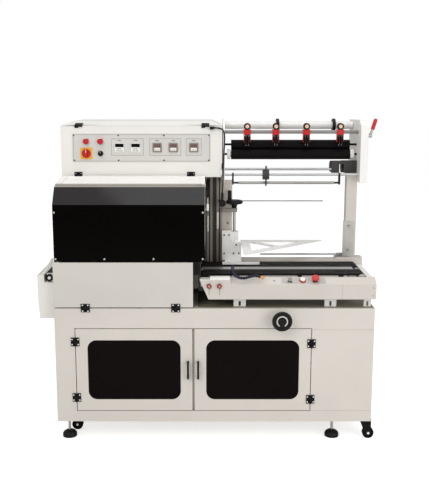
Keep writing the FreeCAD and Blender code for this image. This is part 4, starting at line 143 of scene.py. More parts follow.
def moulded(name, hex_colour, low=0.35, high=0.5, specular=0.45, grain_mm=0.8):
    """Injection-moulded plastic: slight spark texture and softened edges."""
    material, tree, coords = start(name)
    colour = mottled(tree, coords, linear(hex_colour), 25, 0.04)
    rough = roughness_band(tree, coords, 12, low, high)
    grain = add(tree, "ShaderNodeTexNoise", {"Scale": 1 / (grain_mm * MM), "Detail": 2.0},
                Vector=coords)
    rounded = add(tree, "ShaderNodeBevel", {"samples": 4, "Radius": 0.6 * MM})
    bump = add(tree, "ShaderNodeBump", {"Strength": 0.06, "Distance": 0.1 * MM},
               Height=grain.outputs["Fac"], Normal=rounded.outputs["Normal"])
    shader = add(tree, "ShaderNodeBsdfPrincipled",
                 {"IOR": 1.5, "Specular IOR Level": specular},
                 Base_Color=colour, Roughness=rough, Normal=bump.outputs["Normal"])
    close(tree, shader)
    return material


def brushed(name, hex_colour, along=(1.0, 40.0, 40.0), low=0.25, high=0.4):
    """Ground or drawn metal: fine streaks along the bar, soft reflections."""
    material, tree, coords = start(name)
    colour = mottled(tree, coords, linear(hex_colour), 40, 0.05)
    lay = add(tree, "ShaderNodeMapping", {"Scale": along}, Vector=coords)
    streaks = add(tree, "ShaderNodeTexNoise", {"Scale": 1 / (25 * MM), "Detail": 5.0},
                  Vector=lay.outputs["Vector"])
    band = add(tree, "ShaderNodeMapRange", {"From Min": 0.3, "From Max": 0.7,
                                            "To Min": low, "To Max": high},
               Value=streaks.outputs["Fac"])
    bump = add(tree, "ShaderNodeBump", {"Strength": 0.08, "Distance": 0.1 * MM},
               Height=streaks.outputs["Fac"])
    shader = add(tree, "ShaderNodeBsdfPrincipled", {"Metallic": 1.0},
                 Base_Color=colour, Roughness=band.outputs["Result"],
                 Normal=bump.outputs["Normal"])
    close(tree, shader)
    return material


def smoked_acrylic(name, hex_colour, specular=0.1):
    """Cast smoked acrylic: nearly black, polished, with faint dust in the gloss."""
    material, tree, coords = start(name)
    colour = mottled(tree, coords, linear(hex_colour), 220, 0.12)
    rough = roughness_band(tree, coords, 90, 0.06, 0.14)
    shader = add(tree, "ShaderNodeBsdfPrincipled", {"IOR": 1.49, "Specular IOR Level": specular},
                 Base_Color=colour, Roughness=rough)
    close(tree, shader)
    return material


def woven_belt(name, hex_colour):
    """PVC conveyor belt on woven cloth: a fine square weave, dull sheen."""
    material, tree, coords = start(name)
    # the weave is drawn 4 mm wide, coarser than the real 1 mm, so that it shows
    waves = [add(tree, "ShaderNodeTexWave", {"bands_direction": way, "Scale": 1 / (13 * MM),
                                             "Distortion": 0.4, "Detail": 1.0},
                 Vector=coords) for way in ("X", "Y")]
    weave = add(tree, "ShaderNodeMath", {"operation": "MULTIPLY"})
    tree.links.new(waves[0].outputs["Fac"], weave.inputs[0])
    tree.links.new(waves[1].outputs["Fac"], weave.inputs[1])
    base = linear(hex_colour)
    ramp = add(tree, "ShaderNodeValToRGB", Fac=weave.outputs[0])
    ramp.color_ramp.elements[0].color = shade_of(base, 0.75)
    ramp.color_ramp.elements[1].color = shade_of(base, 1.5)
    bump = add(tree, "ShaderNodeBump", {"Strength": 0.3, "Distance": 0.3 * MM},
               Height=weave.outputs[0])
    rough = roughness_band(tree, coords, 50, 0.45, 0.62)
    shader = add(tree, "ShaderNodeBsdfPrincipled", {"IOR": 1.5, "Specular IOR Level": 0.12},
                 Base_Color=ramp.outputs["Color"], Roughness=rough,
                 Normal=bump.outputs["Normal"])
    close(tree, shader)
    return material


def studio_surface(name, hex_colour, seen):
    """The floor: pale and plain, and as bright as the backdrop to the lens."""
    material, tree, coords = start(name)
    colour = mottled(tree, coords, linear(hex_colour), 900, 0.01)
    shader = add(tree, "ShaderNodeBsdfPrincipled", {"Roughness": 0.9,
                                                    "Specular IOR Level": 0.1},
                 Base_Color=colour)
    glow = add(tree, "ShaderNodeEmission", {"Color": (1, 1, 1, 1), "Strength": seen})
    mix = add(tree, "ShaderNodeAddShader")
    tree.links.new(shader.outputs[0], mix.inputs[0])
    tree.links.new(glow.outputs[0], mix.inputs[1])
    path = add(tree, "ShaderNodeLightPath")
    pick = add(tree, "ShaderNodeMixShader", Fac=path.outputs["Is Camera Ray"])
    tree.links.new(shader.outputs[0], pick.inputs[1])
    tree.links.new(mix.outputs[0], pick.inputs[2])
    close(tree, pick)
    return material


MATERIALS = {}


def make_materials():
    """Every finish of the machine, by a maker's name."""
    MATERIALS.update(
        cabinet_coat=powder_coat("powder_coat_warm_grey", "#D9D3CB"),
        front_coat=powder_coat("powder_coat_panel_grey", "#D3CEC6"),
        box_coat=powder_coat("powder_coat_ivory", "#EDEAE4"),
        white_coat=powder_coat("powder_coat_white", "#F4F2EE"),
        conveyor_coat=powder_coat("powder_coat_conveyor_grey", "#D2CCC4"),
        # grey used as painted shade on the hood's top front band, and for a thin line on the infeed
        # cover
        edge_coat=powder_coat("powder_coat_painted_shade_and_line_grey", "#A5A098"),
        strip_grey=powder_coat("anodised_strip_grey", "#B5B3AF", 0.3, 0.4),
        plate_film=powder_coat("printed_polyester_grey", "#D5D3CE", 0.3, 0.4),
        smoked=smoked_acrylic("cast_acrylic_smoked", "#050202", 0.06),
        # the same smoked acrylic with a lighter grey base colour: painted reflection of the bright
        # ceiling on the sloping faces
        slope_smoked=smoked_acrylic("cast_acrylic_smoked_painted_reflection", "#2E2C2C", 0.25),
        door_smoked=smoked_acrylic("cast_acrylic_smoked_window", "#0E0707", 0.06),
        black_nylon=moulded("moulded_nylon_black", "#121011", specular=0.25),
        black_coat=powder_coat("powder_coat_black", "#0D0B0C", 0.35, 0.5, 0.6, 0.18),
        rubber=moulded("vulcanised_rubber_black", "#0E0B0B", 0.55, 0.72, 0.1),
        grey_nylon=moulded("moulded_nylon_grey", "#8E8A86"),
        brown_grey=moulded("moulded_abs_brown_grey", "#8D8378"),
        cream=moulded("moulded_abs_cream", "#E9E2D2"),
        white_plastic=moulded("moulded_abs_white", "#EFEDEA"),
        yellow=moulded("moulded_abs_yellow", "#EDB43C"),
        red=moulded("moulded_abs_red", "#C4201E", 0.25, 0.38),
        red_lens=moulded("moulded_lens_red", "#C01F2A", 0.15, 0.25, 0.6),
        display=smoked_acrylic("display_window_black", "#0A0A0C"),
        window_brown=moulded("tinted_window_brown", "#6F5650", 0.2, 0.3),
        knob_red=moulded("moulded_nylon_dark_red", "#7E2B23", 0.35, 0.5),
        knob_cap=moulded("moulded_abs_salmon", "#DB9079", 0.35, 0.5),
        # dark olive-brown: painted shade on the deck under the conveyor
        deck_shade=powder_coat("powder_coat_deck_painted_shade", "#7D7663", 0.45, 0.6),
        dark_screw=moulded("blackened_steel_screw", "#4B4641", 0.35, 0.5, 0.3),
        knob_pale=moulded("moulded_abs_pale_salmon", "#EBBFA3", 0.35, 0.5),
        groove=powder_coat("painted_shade_slot_brown", "#3C362F", 0.5, 0.65),
        orange=moulded("moulded_nozzle_orange", "#E39A48", 0.3, 0.4),
        hose=moulded("acetal_hose_link_navy", "#17122E", 0.3, 0.42, 0.4),
        cable=moulded("pvc_cable_black", "#191717", 0.4, 0.55),
        belt=woven_belt("woven_pvc_belt", "#15110F"),
        steel=brushed("ground_steel", "#B9B7B4"),
        zinc=brushed("zinc_plated_steel", "#BEBCB6", (8.0, 8.0, 8.0), 0.3, 0.45),
        satin=powder_coat("satin_coat_beige_brown", "#8F887E", 0.32, 0.45),
        column_back=powder_coat("satin_coat_light_beige", "#E8E2D8", 0.35, 0.5),
        pale_steel=moulded("bead_blasted_aluminium_pale", "#F6F4F0", 0.3, 0.42),
        silver=brushed("drawn_aluminium", "#D4D4D4", (1.0, 30.0, 30.0), 0.3, 0.42),
        cast=powder_coat("painted_casting_dark", "#3A3735", 0.5, 0.65),
        roller_grey=moulded("anodised_roller_grey", "#8B8884", 0.35, 0.5),
        # unlit dark brown: painted shade inside openings
        dark_inside=powder_coat("unlit_inner_sheet", "#3A342B", 0.55, 0.7),
    )


FINISH = {
    "cabinet_frame": "cabinet_coat", "cabinet_rear_panel": "cabinet_coat",
    "seal_housing": "box_coat", "control_box": "box_coat", "instrument_panel": "plate_film",
    "panel_instruments": "black_nylon", "hinge_fixed_leaves": "black_coat",
    "left_column": "satin", "right_post": "conveyor_coat", "unwind_plates": "white_coat",
    "guide_rods": "roller_grey", "perforator_arms": "red", "feed_motor": "cast",
    "outfeed_frame": "box_coat", "outfeed_belt": "belt", "lower_seal_jaw": "cast",
    "levelling_feet": "black_nylon", "photo_sensor": "black_nylon",
    "rear_caster_forks": "black_coat", "left_door": "cabinet_coat",
    "left_door_window": "door_smoked", "left_door_hardware": "black_coat",
    "right_door": "cabinet_coat", "right_door_window": "door_smoked",
    "right_door_hardware": "black_coat", "access_panel": "front_coat",
    "hood_frame": "white_coat", "hood_window": "smoked", "gas_spring_cylinder": "black_coat",
    "gas_spring_rod": "steel", "control_box_lid": "box_coat", "main_switch_knob": "red",
    "selector_knob": "black_nylon", "start_button": "grey_nylon",
    "reset_button": "white_plastic", "emergency_stop": "red", "column_handwheel": "black_nylon",
    "carriage": "pale_steel", "film_former": "pale_steel", "front_handwheel": "black_nylon",
    "infeed_frame": "white_coat", "infeed_cover": "conveyor_coat", "infeed_belts": "belt",
    "infeed_roller": "steel", "outfeed_roller": "rubber", "upper_seal_jaw": "cast",
    "cradle_roller_front": "white_plastic", "cradle_roller_rear": "white_plastic",
    "press_roller": "rubber", "feed_roller": "rubber", "dancer_roller": "steel",
    "perforator_wheels": "rubber", "clamp_lever": "red", "left_caster_fork": "black_coat",
    "left_caster_wheel": "rubber", "right_caster_fork": "black_coat",
    "right_caster_wheel": "rubber", "rear_caster_wheels": "rubber",
}

# Parts of CAD nodes that have a finish of their own: node, finish, box in mm.
REGIONS = [
    ("panel_instruments", "red_lens", (-600, -90, 1350), (-500, -73.6, 1385)),
    ("panel_instruments", "yellow", (-612, -90, 1285), (-554, -73, 1341)),
    ("panel_instruments", "cream", (-535, -90, 1295), (-497, -73.6, 1332)),
    ("panel_instruments", "white_plastic", (-450, -90, 1317), (-329, -73.6, 1363)),
    ("panel_instruments", "brown_grey", (-273, -90, 1317), (-55, -73.6, 1363)),
    ("perforator_arms", "black_nylon", (100, -60, 1421), (700, 20, 1470)),
    ("perforator_arms", "knob_pale", (100, -60, 1425), (700, -36.4, 1470)),
    ("levelling_feet", "zinc", (-800, -500, 22.5), (800, 500, 200)),
    ("infeed_cover", "white_coat", (-3, -372, 771.5), (90, -338, 784)),
    ("clamp_lever", "zinc", (735, -100, 1380), (766, -40, 1428)),
    ("column_handwheel", "steel", (100, -40, 880), (132, 0, 1029)),
    ("left_column", "column_back", (56.2, 20.8, 640), (108, 62, 1176)),
    ("left_column", "steel", (107.5, 15, 1068), (560, 40, 1082)),
    ("left_column", "black_coat", (-30, -60, 1170), (-1, -22.5, 1191)),
    # dark brown strips down the column's slots: painted shade in the grooves
    ("left_column", "groove", (10, -21.9, 640), (30, -13, 1201)),
    ("left_column", "groove", (-7.5, -21.9, 640), (-0.5, -16, 1201)),
    ("left_column", "groove", (40.5, -21.9, 640), (47.5, -16, 1201)),
    ("right_post", "steel", (240, -40, 805), (614, 0, 835)),
    ("right_post", "grey_nylon", (614, -40, 805), (652.5, 0, 835)),
    ("right_post", "zinc", (640, -60, 811), (696, -36.9, 990)),
    ("right_post", "dark_screw", (662, -42, 835), (676, -37.1, 967)),
    ("left_column", "dark_screw", (80, 19.5, 959), (92, 25.5, 973)),
    ("guide_rods", "silver", (60, -68, 1203), (710, -52, 1221)),
    ("guide_rods", "silver", (60, -14, 1226), (704, 0, 1240)),
    ("guide_rods", "black_nylon", (102, -75, 1150), (112, -40, 1226)),
    ("guide_rods", "black_nylon", (607, -75, 1150), (617, -40, 1226)),
    ("guide_rods", "cast", (247, -100, 1159), (279, -30, 1255)),
    ("feed_motor", "black_coat", (580, 0, 1180), (598, 120, 1300)),
    ("dancer_roller", "black_nylon", (100, -70, 1160), (132, -50, 1185)),
    ("dancer_roller", "black_nylon", (587, -70, 1160), (620, -50, 1185)),
    ("cradle_roller_front", "black_nylon", (322, 90, 1400), (340, 170, 1475)),
    ("cradle_roller_front", "black_nylon", (598, 90, 1400), (616, 170, 1475)),
    ("upper_seal_jaw", "steel", (-700, -400, 500), (0, 100, 899)),
    # the hood window's sloping faces: painted reflection, a lighter grey than its front
    ("hood_window", "slope_smoked", (-700, -371.7, 1112), (0, -311, 1185)),
    ("hood_frame", "black_coat", (-660, -100, 1195), (-590, -60, 1206)),
    ("hood_frame", "black_coat", (-120, -100, 1195), (-60, -60, 1206)),
    ("hood_frame", "zinc", (-25, -180, 1050), (-15, -160, 1070)),
    # painted shade: the front strip of the hood's top is grey for the shade under the control box
    ("hood_frame", "edge_coat", (-700, -313, 1176.5), (-20, -291, 1189)),
    ("control_box", "black_nylon", (-4, -88, 1423), (13, -71, 1441)),
    ("control_box_lid", "black_coat", (-640, -82, 1436), (-590, -48, 1462)),
    ("control_box_lid", "black_coat", (-50, -82, 1436), (0, -48, 1462)),
    ("access_panel", "black_coat", (-800, -385, 630), (0, -372.3, 680)),
    ("infeed_frame", "silver", (-60, -240, 788), (700, -180, 792)),
    ("infeed_frame", "black_coat", (-60, -345, 760), (706, -232, 789)),
    ("outfeed_roller", "black_nylon", (-745, -345, 750), (-708, -326, 790)),
    ("outfeed_roller", "white_plastic", (-734, -345, 763), (-718, -330.6, 780)),
    ("carriage", "dark_screw", (60, -58, 800), (150, -54.2, 941)),
    ("gas_spring_rod", "white_plastic", (-20, -190, 1040), (0, -150, 1086)),
    ("left_door_hardware", "black_coat", (-700, -500, 100), (0, -300, 600)),
]

# Finishes on the sloping strip of the infeed cover: finish, x from and to in mm,
# and how far above the slope the face must lie.
SLOPED = [("strip_grey", 318, 516, 0.3), ("zinc", 340, 372, 1.2), ("red", 397, 429, 1.2),
          ("zinc", 453, 485, 1.2), ("grey_nylon", 281, 291, 0.3)]
BEND = (-372.0, 750.0, math.atan2(26.0, 40.0))

# Instruments on the control panel: middle x in mm.
CONTROLLERS = (-427.0, -351.0)
TIMERS = (-250.0, -174.0, -78.0)


def new_piece(name, mesh_maker, finish, body, smooth=True):
    """A mesh object made by one bmesh function, finished and riding."""
    mesh = bpy.data.meshes.new(name)
    bm = bmesh.new()
    mesh_maker(bm)
    bmesh.ops.recalc_face_normals(bm, faces=bm.faces)
    bm.to_mesh(mesh)
    bm.free()
    piece = bpy.data.objects.new(name, mesh)
    bpy.context.scene.collection.objects.link(piece)
    finishes = finish if isinstance(finish, (list, tuple)) else [finish]
    for word in finishes:
        mesh.materials.append(MATERIALS[word])
    if smooth:
        mesh.shade_smooth()
        mesh.set_sharp_from_angle(angle=math.radians(35))
    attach(piece, body)
    return piece


def slab(bm, low, high, bevel=0.5, finish=0, turn=None):
    """A box in mm with rounded edges; turn is a matrix about its middle."""
    low, high = Vector(low) * MM, Vector(high) * MM
    middle, size = (low + high) / 2, high - low
    made = bmesh.ops.create_cube(bm, size=1.0)
    verts = made["verts"]
    bmesh.ops.scale(bm, vec=size, verts=verts)
    edges = {e for v in verts for e in v.link_edges}
    rounded = bmesh.ops.bevel(bm, geom=list(edges), offset=min(bevel * MM, min(size) * 0.45),
                              segments=2, profile=0.5, affect="EDGES")
    verts = list({v for f in rounded["faces"] for v in f.verts} | {v for v in verts if v.is_valid})
    if turn is not None:
        bmesh.ops.transform(bm, matrix=turn, verts=verts)
    bmesh.ops.translate(bm, vec=middle, verts=verts)
    for face in {f for v in verts for f in v.link_faces}:
        face.material_index = finish


def turned(bm, profile, place, axis="Z", steps=28, finish=0, matrix=None):
    """A turned piece: (radius, height) pairs in mm spun about an axis."""
    spin = {"Z": Matrix.Identity(4), "Y": Matrix.Rotation(math.radians(90), 4, "X"),
            "X": Matrix.Rotation(math.radians(90), 4, "Y")}[axis]
    if matrix is not None:
        spin = matrix
    rings = []
    for radius, height in profile:
        ring = []
        for k in range(steps):
            angle = 2 * math.pi * k / steps
            spot = Vector((max(radius, 0.01) * math.cos(angle),
                           max(radius, 0.01) * math.sin(angle), height)) * MM
            ring.append(bm.verts.new(spin @ spot + Vector(place) * MM))
        rings.append(ring)
    for near, far in zip(rings, rings[1:]):
        for k in range(steps):
            face = bm.faces.new((near[k], near[(k + 1) % steps], far[(k + 1) % steps], far[k]))
            face.material_index = finish
    for ring in (rings[0], rings[-1]):
        bm.faces.new(ring).material_index = finish


def cord_curve(name, points_mm, radius_mm, finish, body):
    """A smooth hanging cord through its route's control points."""
    curve = bpy.data.curves.new(name, "CURVE")
    curve.dimensions = "3D"
    curve.bevel_depth = radius_mm * MM
    curve.bevel_resolution = 5
    curve.resolution_u = 16
    curve.use_fill_caps = True
    spline = curve.splines.new("NURBS")
    spline.points.add(len(points_mm) - 1)
    for point, spot in zip(spline.points, points_mm):
        point.co = (spot[0] * MM, spot[1] * MM, spot[2] * MM, 1)
    spline.order_u = 3
    spline.use_endpoint_u = True
    curve.materials.append(MATERIALS[finish])
    piece = bpy.data.objects.new(name, curve)
    bpy.context.scene.collection.objects.link(piece)
    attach(piece, body)
    return piece


def route_length(piece):
    """The length of a cord's own line in metres."""
    bevel = piece.data.bevel_depth
    piece.data.bevel_depth = 0.0
    bpy.context.view_layer.update()
    line = bpy.data.meshes.new_from_object(piece.evaluated_get(
        bpy.context.evaluated_depsgraph_get()))
    spots = [v.co for v in line.vertices]
    piece.data.bevel_depth = bevel
    return sum((b - a).length for a, b in zip(spots, spots[1:])), [tuple(v) for v in spots]


# ------------------------------------------------------- settings, operators

class SealerSettings(bpy.types.PropertyGroup):
    """Sizes and colours a user would change."""

    screw_radius: FloatProperty(name="Hood screw", description="Dome screw radius, mm",
                                default=5.5, min=2.0, max=12.0)
    knob_radius: FloatProperty(name="Star knob", description="Star knob radius, mm",
                               default=11.0, min=5.0, max=20.0)
    tooth_count: IntProperty(name="Perforator teeth", description="Teeth on each wheel",
                             default=24, min=6, max=60)
    floor_colour: StringProperty(name="Floor colour", description="sRGB hex",
                                 default="#F2F1EF")
    camera_distance: FloatProperty(name="Camera distance", subtype="DISTANCE",
                                   description="From the cabinet front", default=3.4)
    camera_height: FloatProperty(name="Camera height", subtype="DISTANCE",
                                 description="Above the floor", default=1.56)


class SEALER_OT_finishes(bpy.types.Operator):
    """Give every CAD node its finish and pick out its parts."""

    bl_idname = "sealer.finishes"
    bl_label = "Finishes"

    def execute(self, context):
        make_materials()
        for name, word in FINISH.items():
            mesh = NODES[name].data
            mesh.materials.clear()
            mesh.materials.append(MATERIALS[word])
            for face in mesh.polygons:
                face.material_index = 0
        for name, word, low, high in REGIONS:
            mesh = NODES[name].data
            place = mesh.materials.find(MATERIALS[word].name)
            if place < 0:
                mesh.materials.append(MATERIALS[word])
                place = len(mesh.materials) - 1
            for face in mesh.polygons:
                spot = face.center / MM
                if all(low[k] <= spot[k] <= high[k] for k in range(3)):
                    face.material_index = place
        mesh = NODES["infeed_cover"].data
        for word, x0, x1, lift in SLOPED:
            mesh.materials.append(MATERIALS[word])
            for face in mesh.polygons:
                x, y, z = face.center / MM
                above = (z - BEND[1]) * math.cos(BEND[2]) - (y - BEND[0]) * math.sin(BEND[2])
                if x0 <= x <= x1 and lift <= above <= 14 and z > BEND[1]:
                    face.material_index = len(mesh.materials) - 1
        return {"FINISHED"}


class SEALER_OT_instruments(bpy.types.Operator):
    """Displays, keys, dials and screws of the control panel."""

    bl_idname = "sealer.instruments"
    bl_label = "Instruments"

    def execute(self, context):
        face_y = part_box("instrument_panel")[0][1] / MM
        meter_y = face_y - 5.0
        middle = 1340.0

        def controllers(bm):
            for x in CONTROLLERS:
                slab(bm, (x - 20, meter_y - 0.8, middle + 2), (x + 20, meter_y + 0.5, middle + 18.5),
                     0.6, 0)
                slab(bm, (x - 14, meter_y - 0.5, middle - 7), (x + 9, meter_y, middle - 4),
                     0.2, 1)
                for k in range(4):
                    left = x - 14 + 7.6 * k
                    slab(bm, (left, meter_y - 1.6, middle - 17), (left + 4.6, meter_y, middle - 13),
                         0.8, 2)

        new_piece("controller_faces", controllers, ["display", "brown_grey", "grey_nylon"],
                  "machine")

        def timers(bm):
            for x in TIMERS:
                slab(bm, (x - 16, meter_y - 0.8, middle + 1), (x + 16, meter_y + 0.5, middle + 17),
                     0.4, 0)
                slab(bm, (x - 14, meter_y - 1.0, middle - 15), (x + 14, meter_y + 0.5, middle - 1),
                     0.4, 1)
                for k in range(3):
                    left = x - 9 + 7 * k
                    slab(bm, (left, meter_y - 1.6, middle - 12), (left + 4, meter_y - 0.6,
                                                                 middle - 9), 0.4, 2)

        new_piece("timer_faces", timers, ["window_brown", "white_plastic", "grey_nylon"],
                  "machine")

        def edge_lines(bm):
            low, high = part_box("instrument_panel")
            x0, x1, z0, z1 = low[0] / MM + 5, high[0] / MM - 5, low[2] / MM + 4, high[2] / MM - 4
            for a, b in (((x0, z0), (x1, z0 + 1.4)), ((x0, z1 - 1.4), (x1, z1)),
                         ((x0, z0), (x0 + 1.6, z1)), ((x1 - 1.6, z0), (x1, z1))):
                slab(bm, (a[0], face_y - 0.4, a[1]), (b[0], face_y + 0.2, b[1]), 0.1, 0)

        new_piece("panel_edge_lines", edge_lines, "grey_nylon", "machine")

        def outlines(bm):
            for x0, x1 in ((-466, -314), (-286, -138), (-114, -42)):
                z0, z1 = 1303, 1382
                for low, high in (((x0, z0), (x1, z0 + 1.6)), ((x0, z1 - 1.6), (x1, z1)),
                                  ((x0, z0), (x0 + 1.6, z1)), ((x1 - 1.6, z0), (x1, z1))):
                    slab(bm, (low[0], face_y - 0.35, low[1]), (high[0], face_y + 0.2, high[1]),
                         0.1, 0)
            for x in (-427, -351, -250, -174, -78):
                slab(bm, (x - 9, face_y - 0.35, 1371), (x + 9, face_y + 0.2, 1375), 0.1, 0)

        new_piece("panel_outlines", outlines, "grey_nylon", "machine")

        def screws(bm):
            spots = [(-641, 1397), (-432, 1397), (-218, 1397), (-7, 1397),
                     (-641, 1280), (-432, 1280), (-218, 1280), (-7, 1280)]
            for x, z in spots:
                turned(bm, [(4.0, 0), (3.8, 1.2), (2.4, 2.0), (0, 2.2)], (x, face_y, z), "Y", 16)

        new_piece("panel_screws", screws, "dark_screw", "machine")

        new_piece("main_switch_pointer", lambda bm: slab(
            bm, (-584.2, face_y - 23.1, 1316), (-581.8, face_y - 22.2, 1331), 0.2),
            "white_plastic", "main_switch")
        new_piece("selector_pointer", lambda bm: slab(
            bm, (-517, face_y - 21.1, 1315), (-515, face_y - 20.2, 1324), 0.2),
            "white_plastic", "selector")

        def lamp_rings(bm):
            for x in (-583, -516):
                turned(bm, [(13.9, 0), (16.5, 0), (16.5, 3), (14.2, 4), (13.9, 4)],
                       (x, face_y, 1369), "Y")

        new_piece("lamp_rings", lamp_rings, "zinc", "machine")
        return {"FINISHED"}


class SEALER_OT_hood_fittings(bpy.types.Operator):
    """Dome screws along the edge of the smoked hood."""

    bl_idname = "sealer.hood_fittings"
    bl_label = "Hood fittings"

    def execute(self, context):
        radius = context.scene.sealer.screw_radius
        low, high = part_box("hood_window")
        y = low[1] / MM
        x0, x1 = low[0] / MM + 7, high[0] / MM - 9
        z0, z1 = low[2] / MM + 13, 1074.0
        spots = [(x0, z1), (x1, z1), (x0, z0), (x1, z0), (-470.0, z0), (-252.0, z0)]

        def screws(bm):
            for x, z in spots:
                turned(bm, [(radius, -0.5), (radius, 1), (radius * 0.8, 3.2),
                            (radius * 0.4, 4.4), (0, 4.8)], (x, y, z), "Y", 22)

        new_piece("hood_screws", screws, "zinc", "hood")
        # a grey band on the hood top behind its front border: painted shade under the control box
        new_piece("hood_front_painted_shade_band", lambda bm: slab(
            bm, (x0 - 6, -291.4, 1189.1), (x1 + 8, -270.6, 1189.9), 0.3, 0,
            Matrix.Rotation(math.radians(5.8), 4, "X")), "edge_coat", "hood")

        def hinge_screws(bm):
            for x in (-623.5, -91.5):
                for side in (-13.0, 13.0):
                    turned(bm, [(2.6, -0.3), (2.4, 0.9), (0, 1.3)], (x + side, -73.5, 1218),
                           "Y", 14)

        new_piece("hood_hinge_screws", hinge_screws, "zinc", "machine")
        return {"FINISHED"}


class SEALER_OT_conveyor_fittings(bpy.types.Operator):
    """Star knobs, screws and a thin line of the infeed conveyor."""

    bl_idname = "sealer.conveyor_fittings"
    bl_label = "Conveyor fittings"

    def execute(self, context):
        radius = context.scene.sealer.knob_radius
        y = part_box("infeed_cover")[0][1] / MM

        def knobs(bm):
            for x in (-6.0, 40.0):
                steps = 40
                spin = Matrix.Rotation(math.radians(90), 4, "X")
                rings = []
                for scale, height in ((0.55, 0.0), (0.95, 3.0), (1.0, 8.0), (0.86, 11.0)):
                    ring = []
                    for k in range(steps):
                        angle = 2 * math.pi * k / steps
                        reach = radius * scale * (1 + 0.13 * math.cos(5 * angle))
                        spot = Vector((reach * math.cos(angle), reach * math.sin(angle), height))
                        ring.append(bm.verts.new(spin @ (spot * MM)
                                                 + Vector((x, y, 744)) * MM))
                    rings.append(ring)
                for near, far in zip(rings, rings[1:]):
                    for k in range(steps):
                        bm.faces.new((near[k], near[(k + 1) % steps], far[(k + 1) % steps],
                                      far[k]))
                bm.faces.new(rings[0])
                bm.faces.new(rings[-1])
                turned(bm, [(radius * 0.42, 10.5), (radius * 0.42, 12.2), (0, 12.6)],
                       (x, y, 744), "Y", 20, 1)
                slab(bm, (x - 1.3, y - 0.5, 702), (x + 1.3, y + 0.4, 734), 0.3, 2)

        new_piece("star_knobs", knobs, ["knob_red", "knob_cap", "grey_nylon"], "infeed")

        def screws(bm):
            for x in (320.0, 512.0):
                turned(bm, [(2.6, 0), (2.4, 1.0), (0, 1.6)], (x, y + 20, 764.0), "Y", 14,
                       matrix=Matrix.Rotation(BEND[2], 4, "X"))
            for z in (700.0, 735.0):
                turned(bm, [(4.2, -0.3), (4.0, 1.6), (2.0, 2.6), (0, 2.8)], (729, y, z), "Y", 16)
            slab(bm, (588.2, y - 0.3, 683), (589.4, y + 0.3, 749), 0.1, 1)

        new_piece("cover_screws", screws, ["zinc", "edge_coat"], "infeed")
        return {"FINISHED"}


HOSE = [(104, -207, 795.8), (102, -262, 800), (98, -330, 801), (104, -354, 792),
        (124, -366, 781), (152, -366, 777), (182, -358, 785), (206, -354, 788),
        (228, -362, 782)]
CABLE = [(12, -80, 1432), (46, -80, 1433), (66, -80, 1415), (67, -79, 1370),
         (63, -80, 1300), (61, -79, 1235), (60, -80, 1180), (57, -80, 1128)]


class SEALER_OT_cords(bpy.types.Operator):
    """The navy air hose with its nozzle, and the sensor's cable."""

    bl_idname = "sealer.cords"
    bl_label = "Hose and cable"

    def execute(self, context):
        hose = cord_curve("navy_air_hose", HOSE, 5.5, "hose", "infeed")
        length, line = route_length(hose)

        def beads(bm):
            # the hose is a chain of snap-on beads about 11 mm long
            travelled = 0.0
            last = Vector(line[0])
            for spot in line[1:]:
                here = Vector(spot)
                travelled += (here - last).length
                if travelled >= 0.011:
                    travelled = 0.0
                    way = (here - last).normalized().to_track_quat("Z", "Y").to_matrix()
                    turned(bm, [(5.0, -4), (7.0, -2.6), (7.4, 0), (7.0, 2.6), (5.0, 4)],
                           here / MM, matrix=way.to_4x4(), steps=20)
                last = here

        beaded = new_piece("hose_beads", beads, "hose", "infeed")
        end = Vector(line[-1])
        way = (end - Vector(line[-2])).normalized()

        def nozzle(bm):
            aim = way.to_track_quat("Z", "Y").to_matrix().to_4x4()
            turned(bm, [(5.6, -4), (7.0, -2), (7.0, 4), (4.5, 8), (2.8, 15), (2.3, 15)],
                   end / MM, matrix=aim, steps=22)

        tip = new_piece("hose_nozzle", nozzle, "orange", "infeed")
        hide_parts("air_hose")
        cable = cord_curve("sensor_lead", CABLE, 3.5, "cable", "machine")
        length, line = route_length(cable)
        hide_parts("sensor_cable")

        def gland(bm):
            turned(bm, [(4.0, -1), (6.5, -0.5), (6.5, 4), (5.0, 7), (3.8, 12)],
                   CABLE[0], "X", 20)

        collar = new_piece("cable_gland", gland, "black_nylon", "machine")
        return {"FINISHED"}


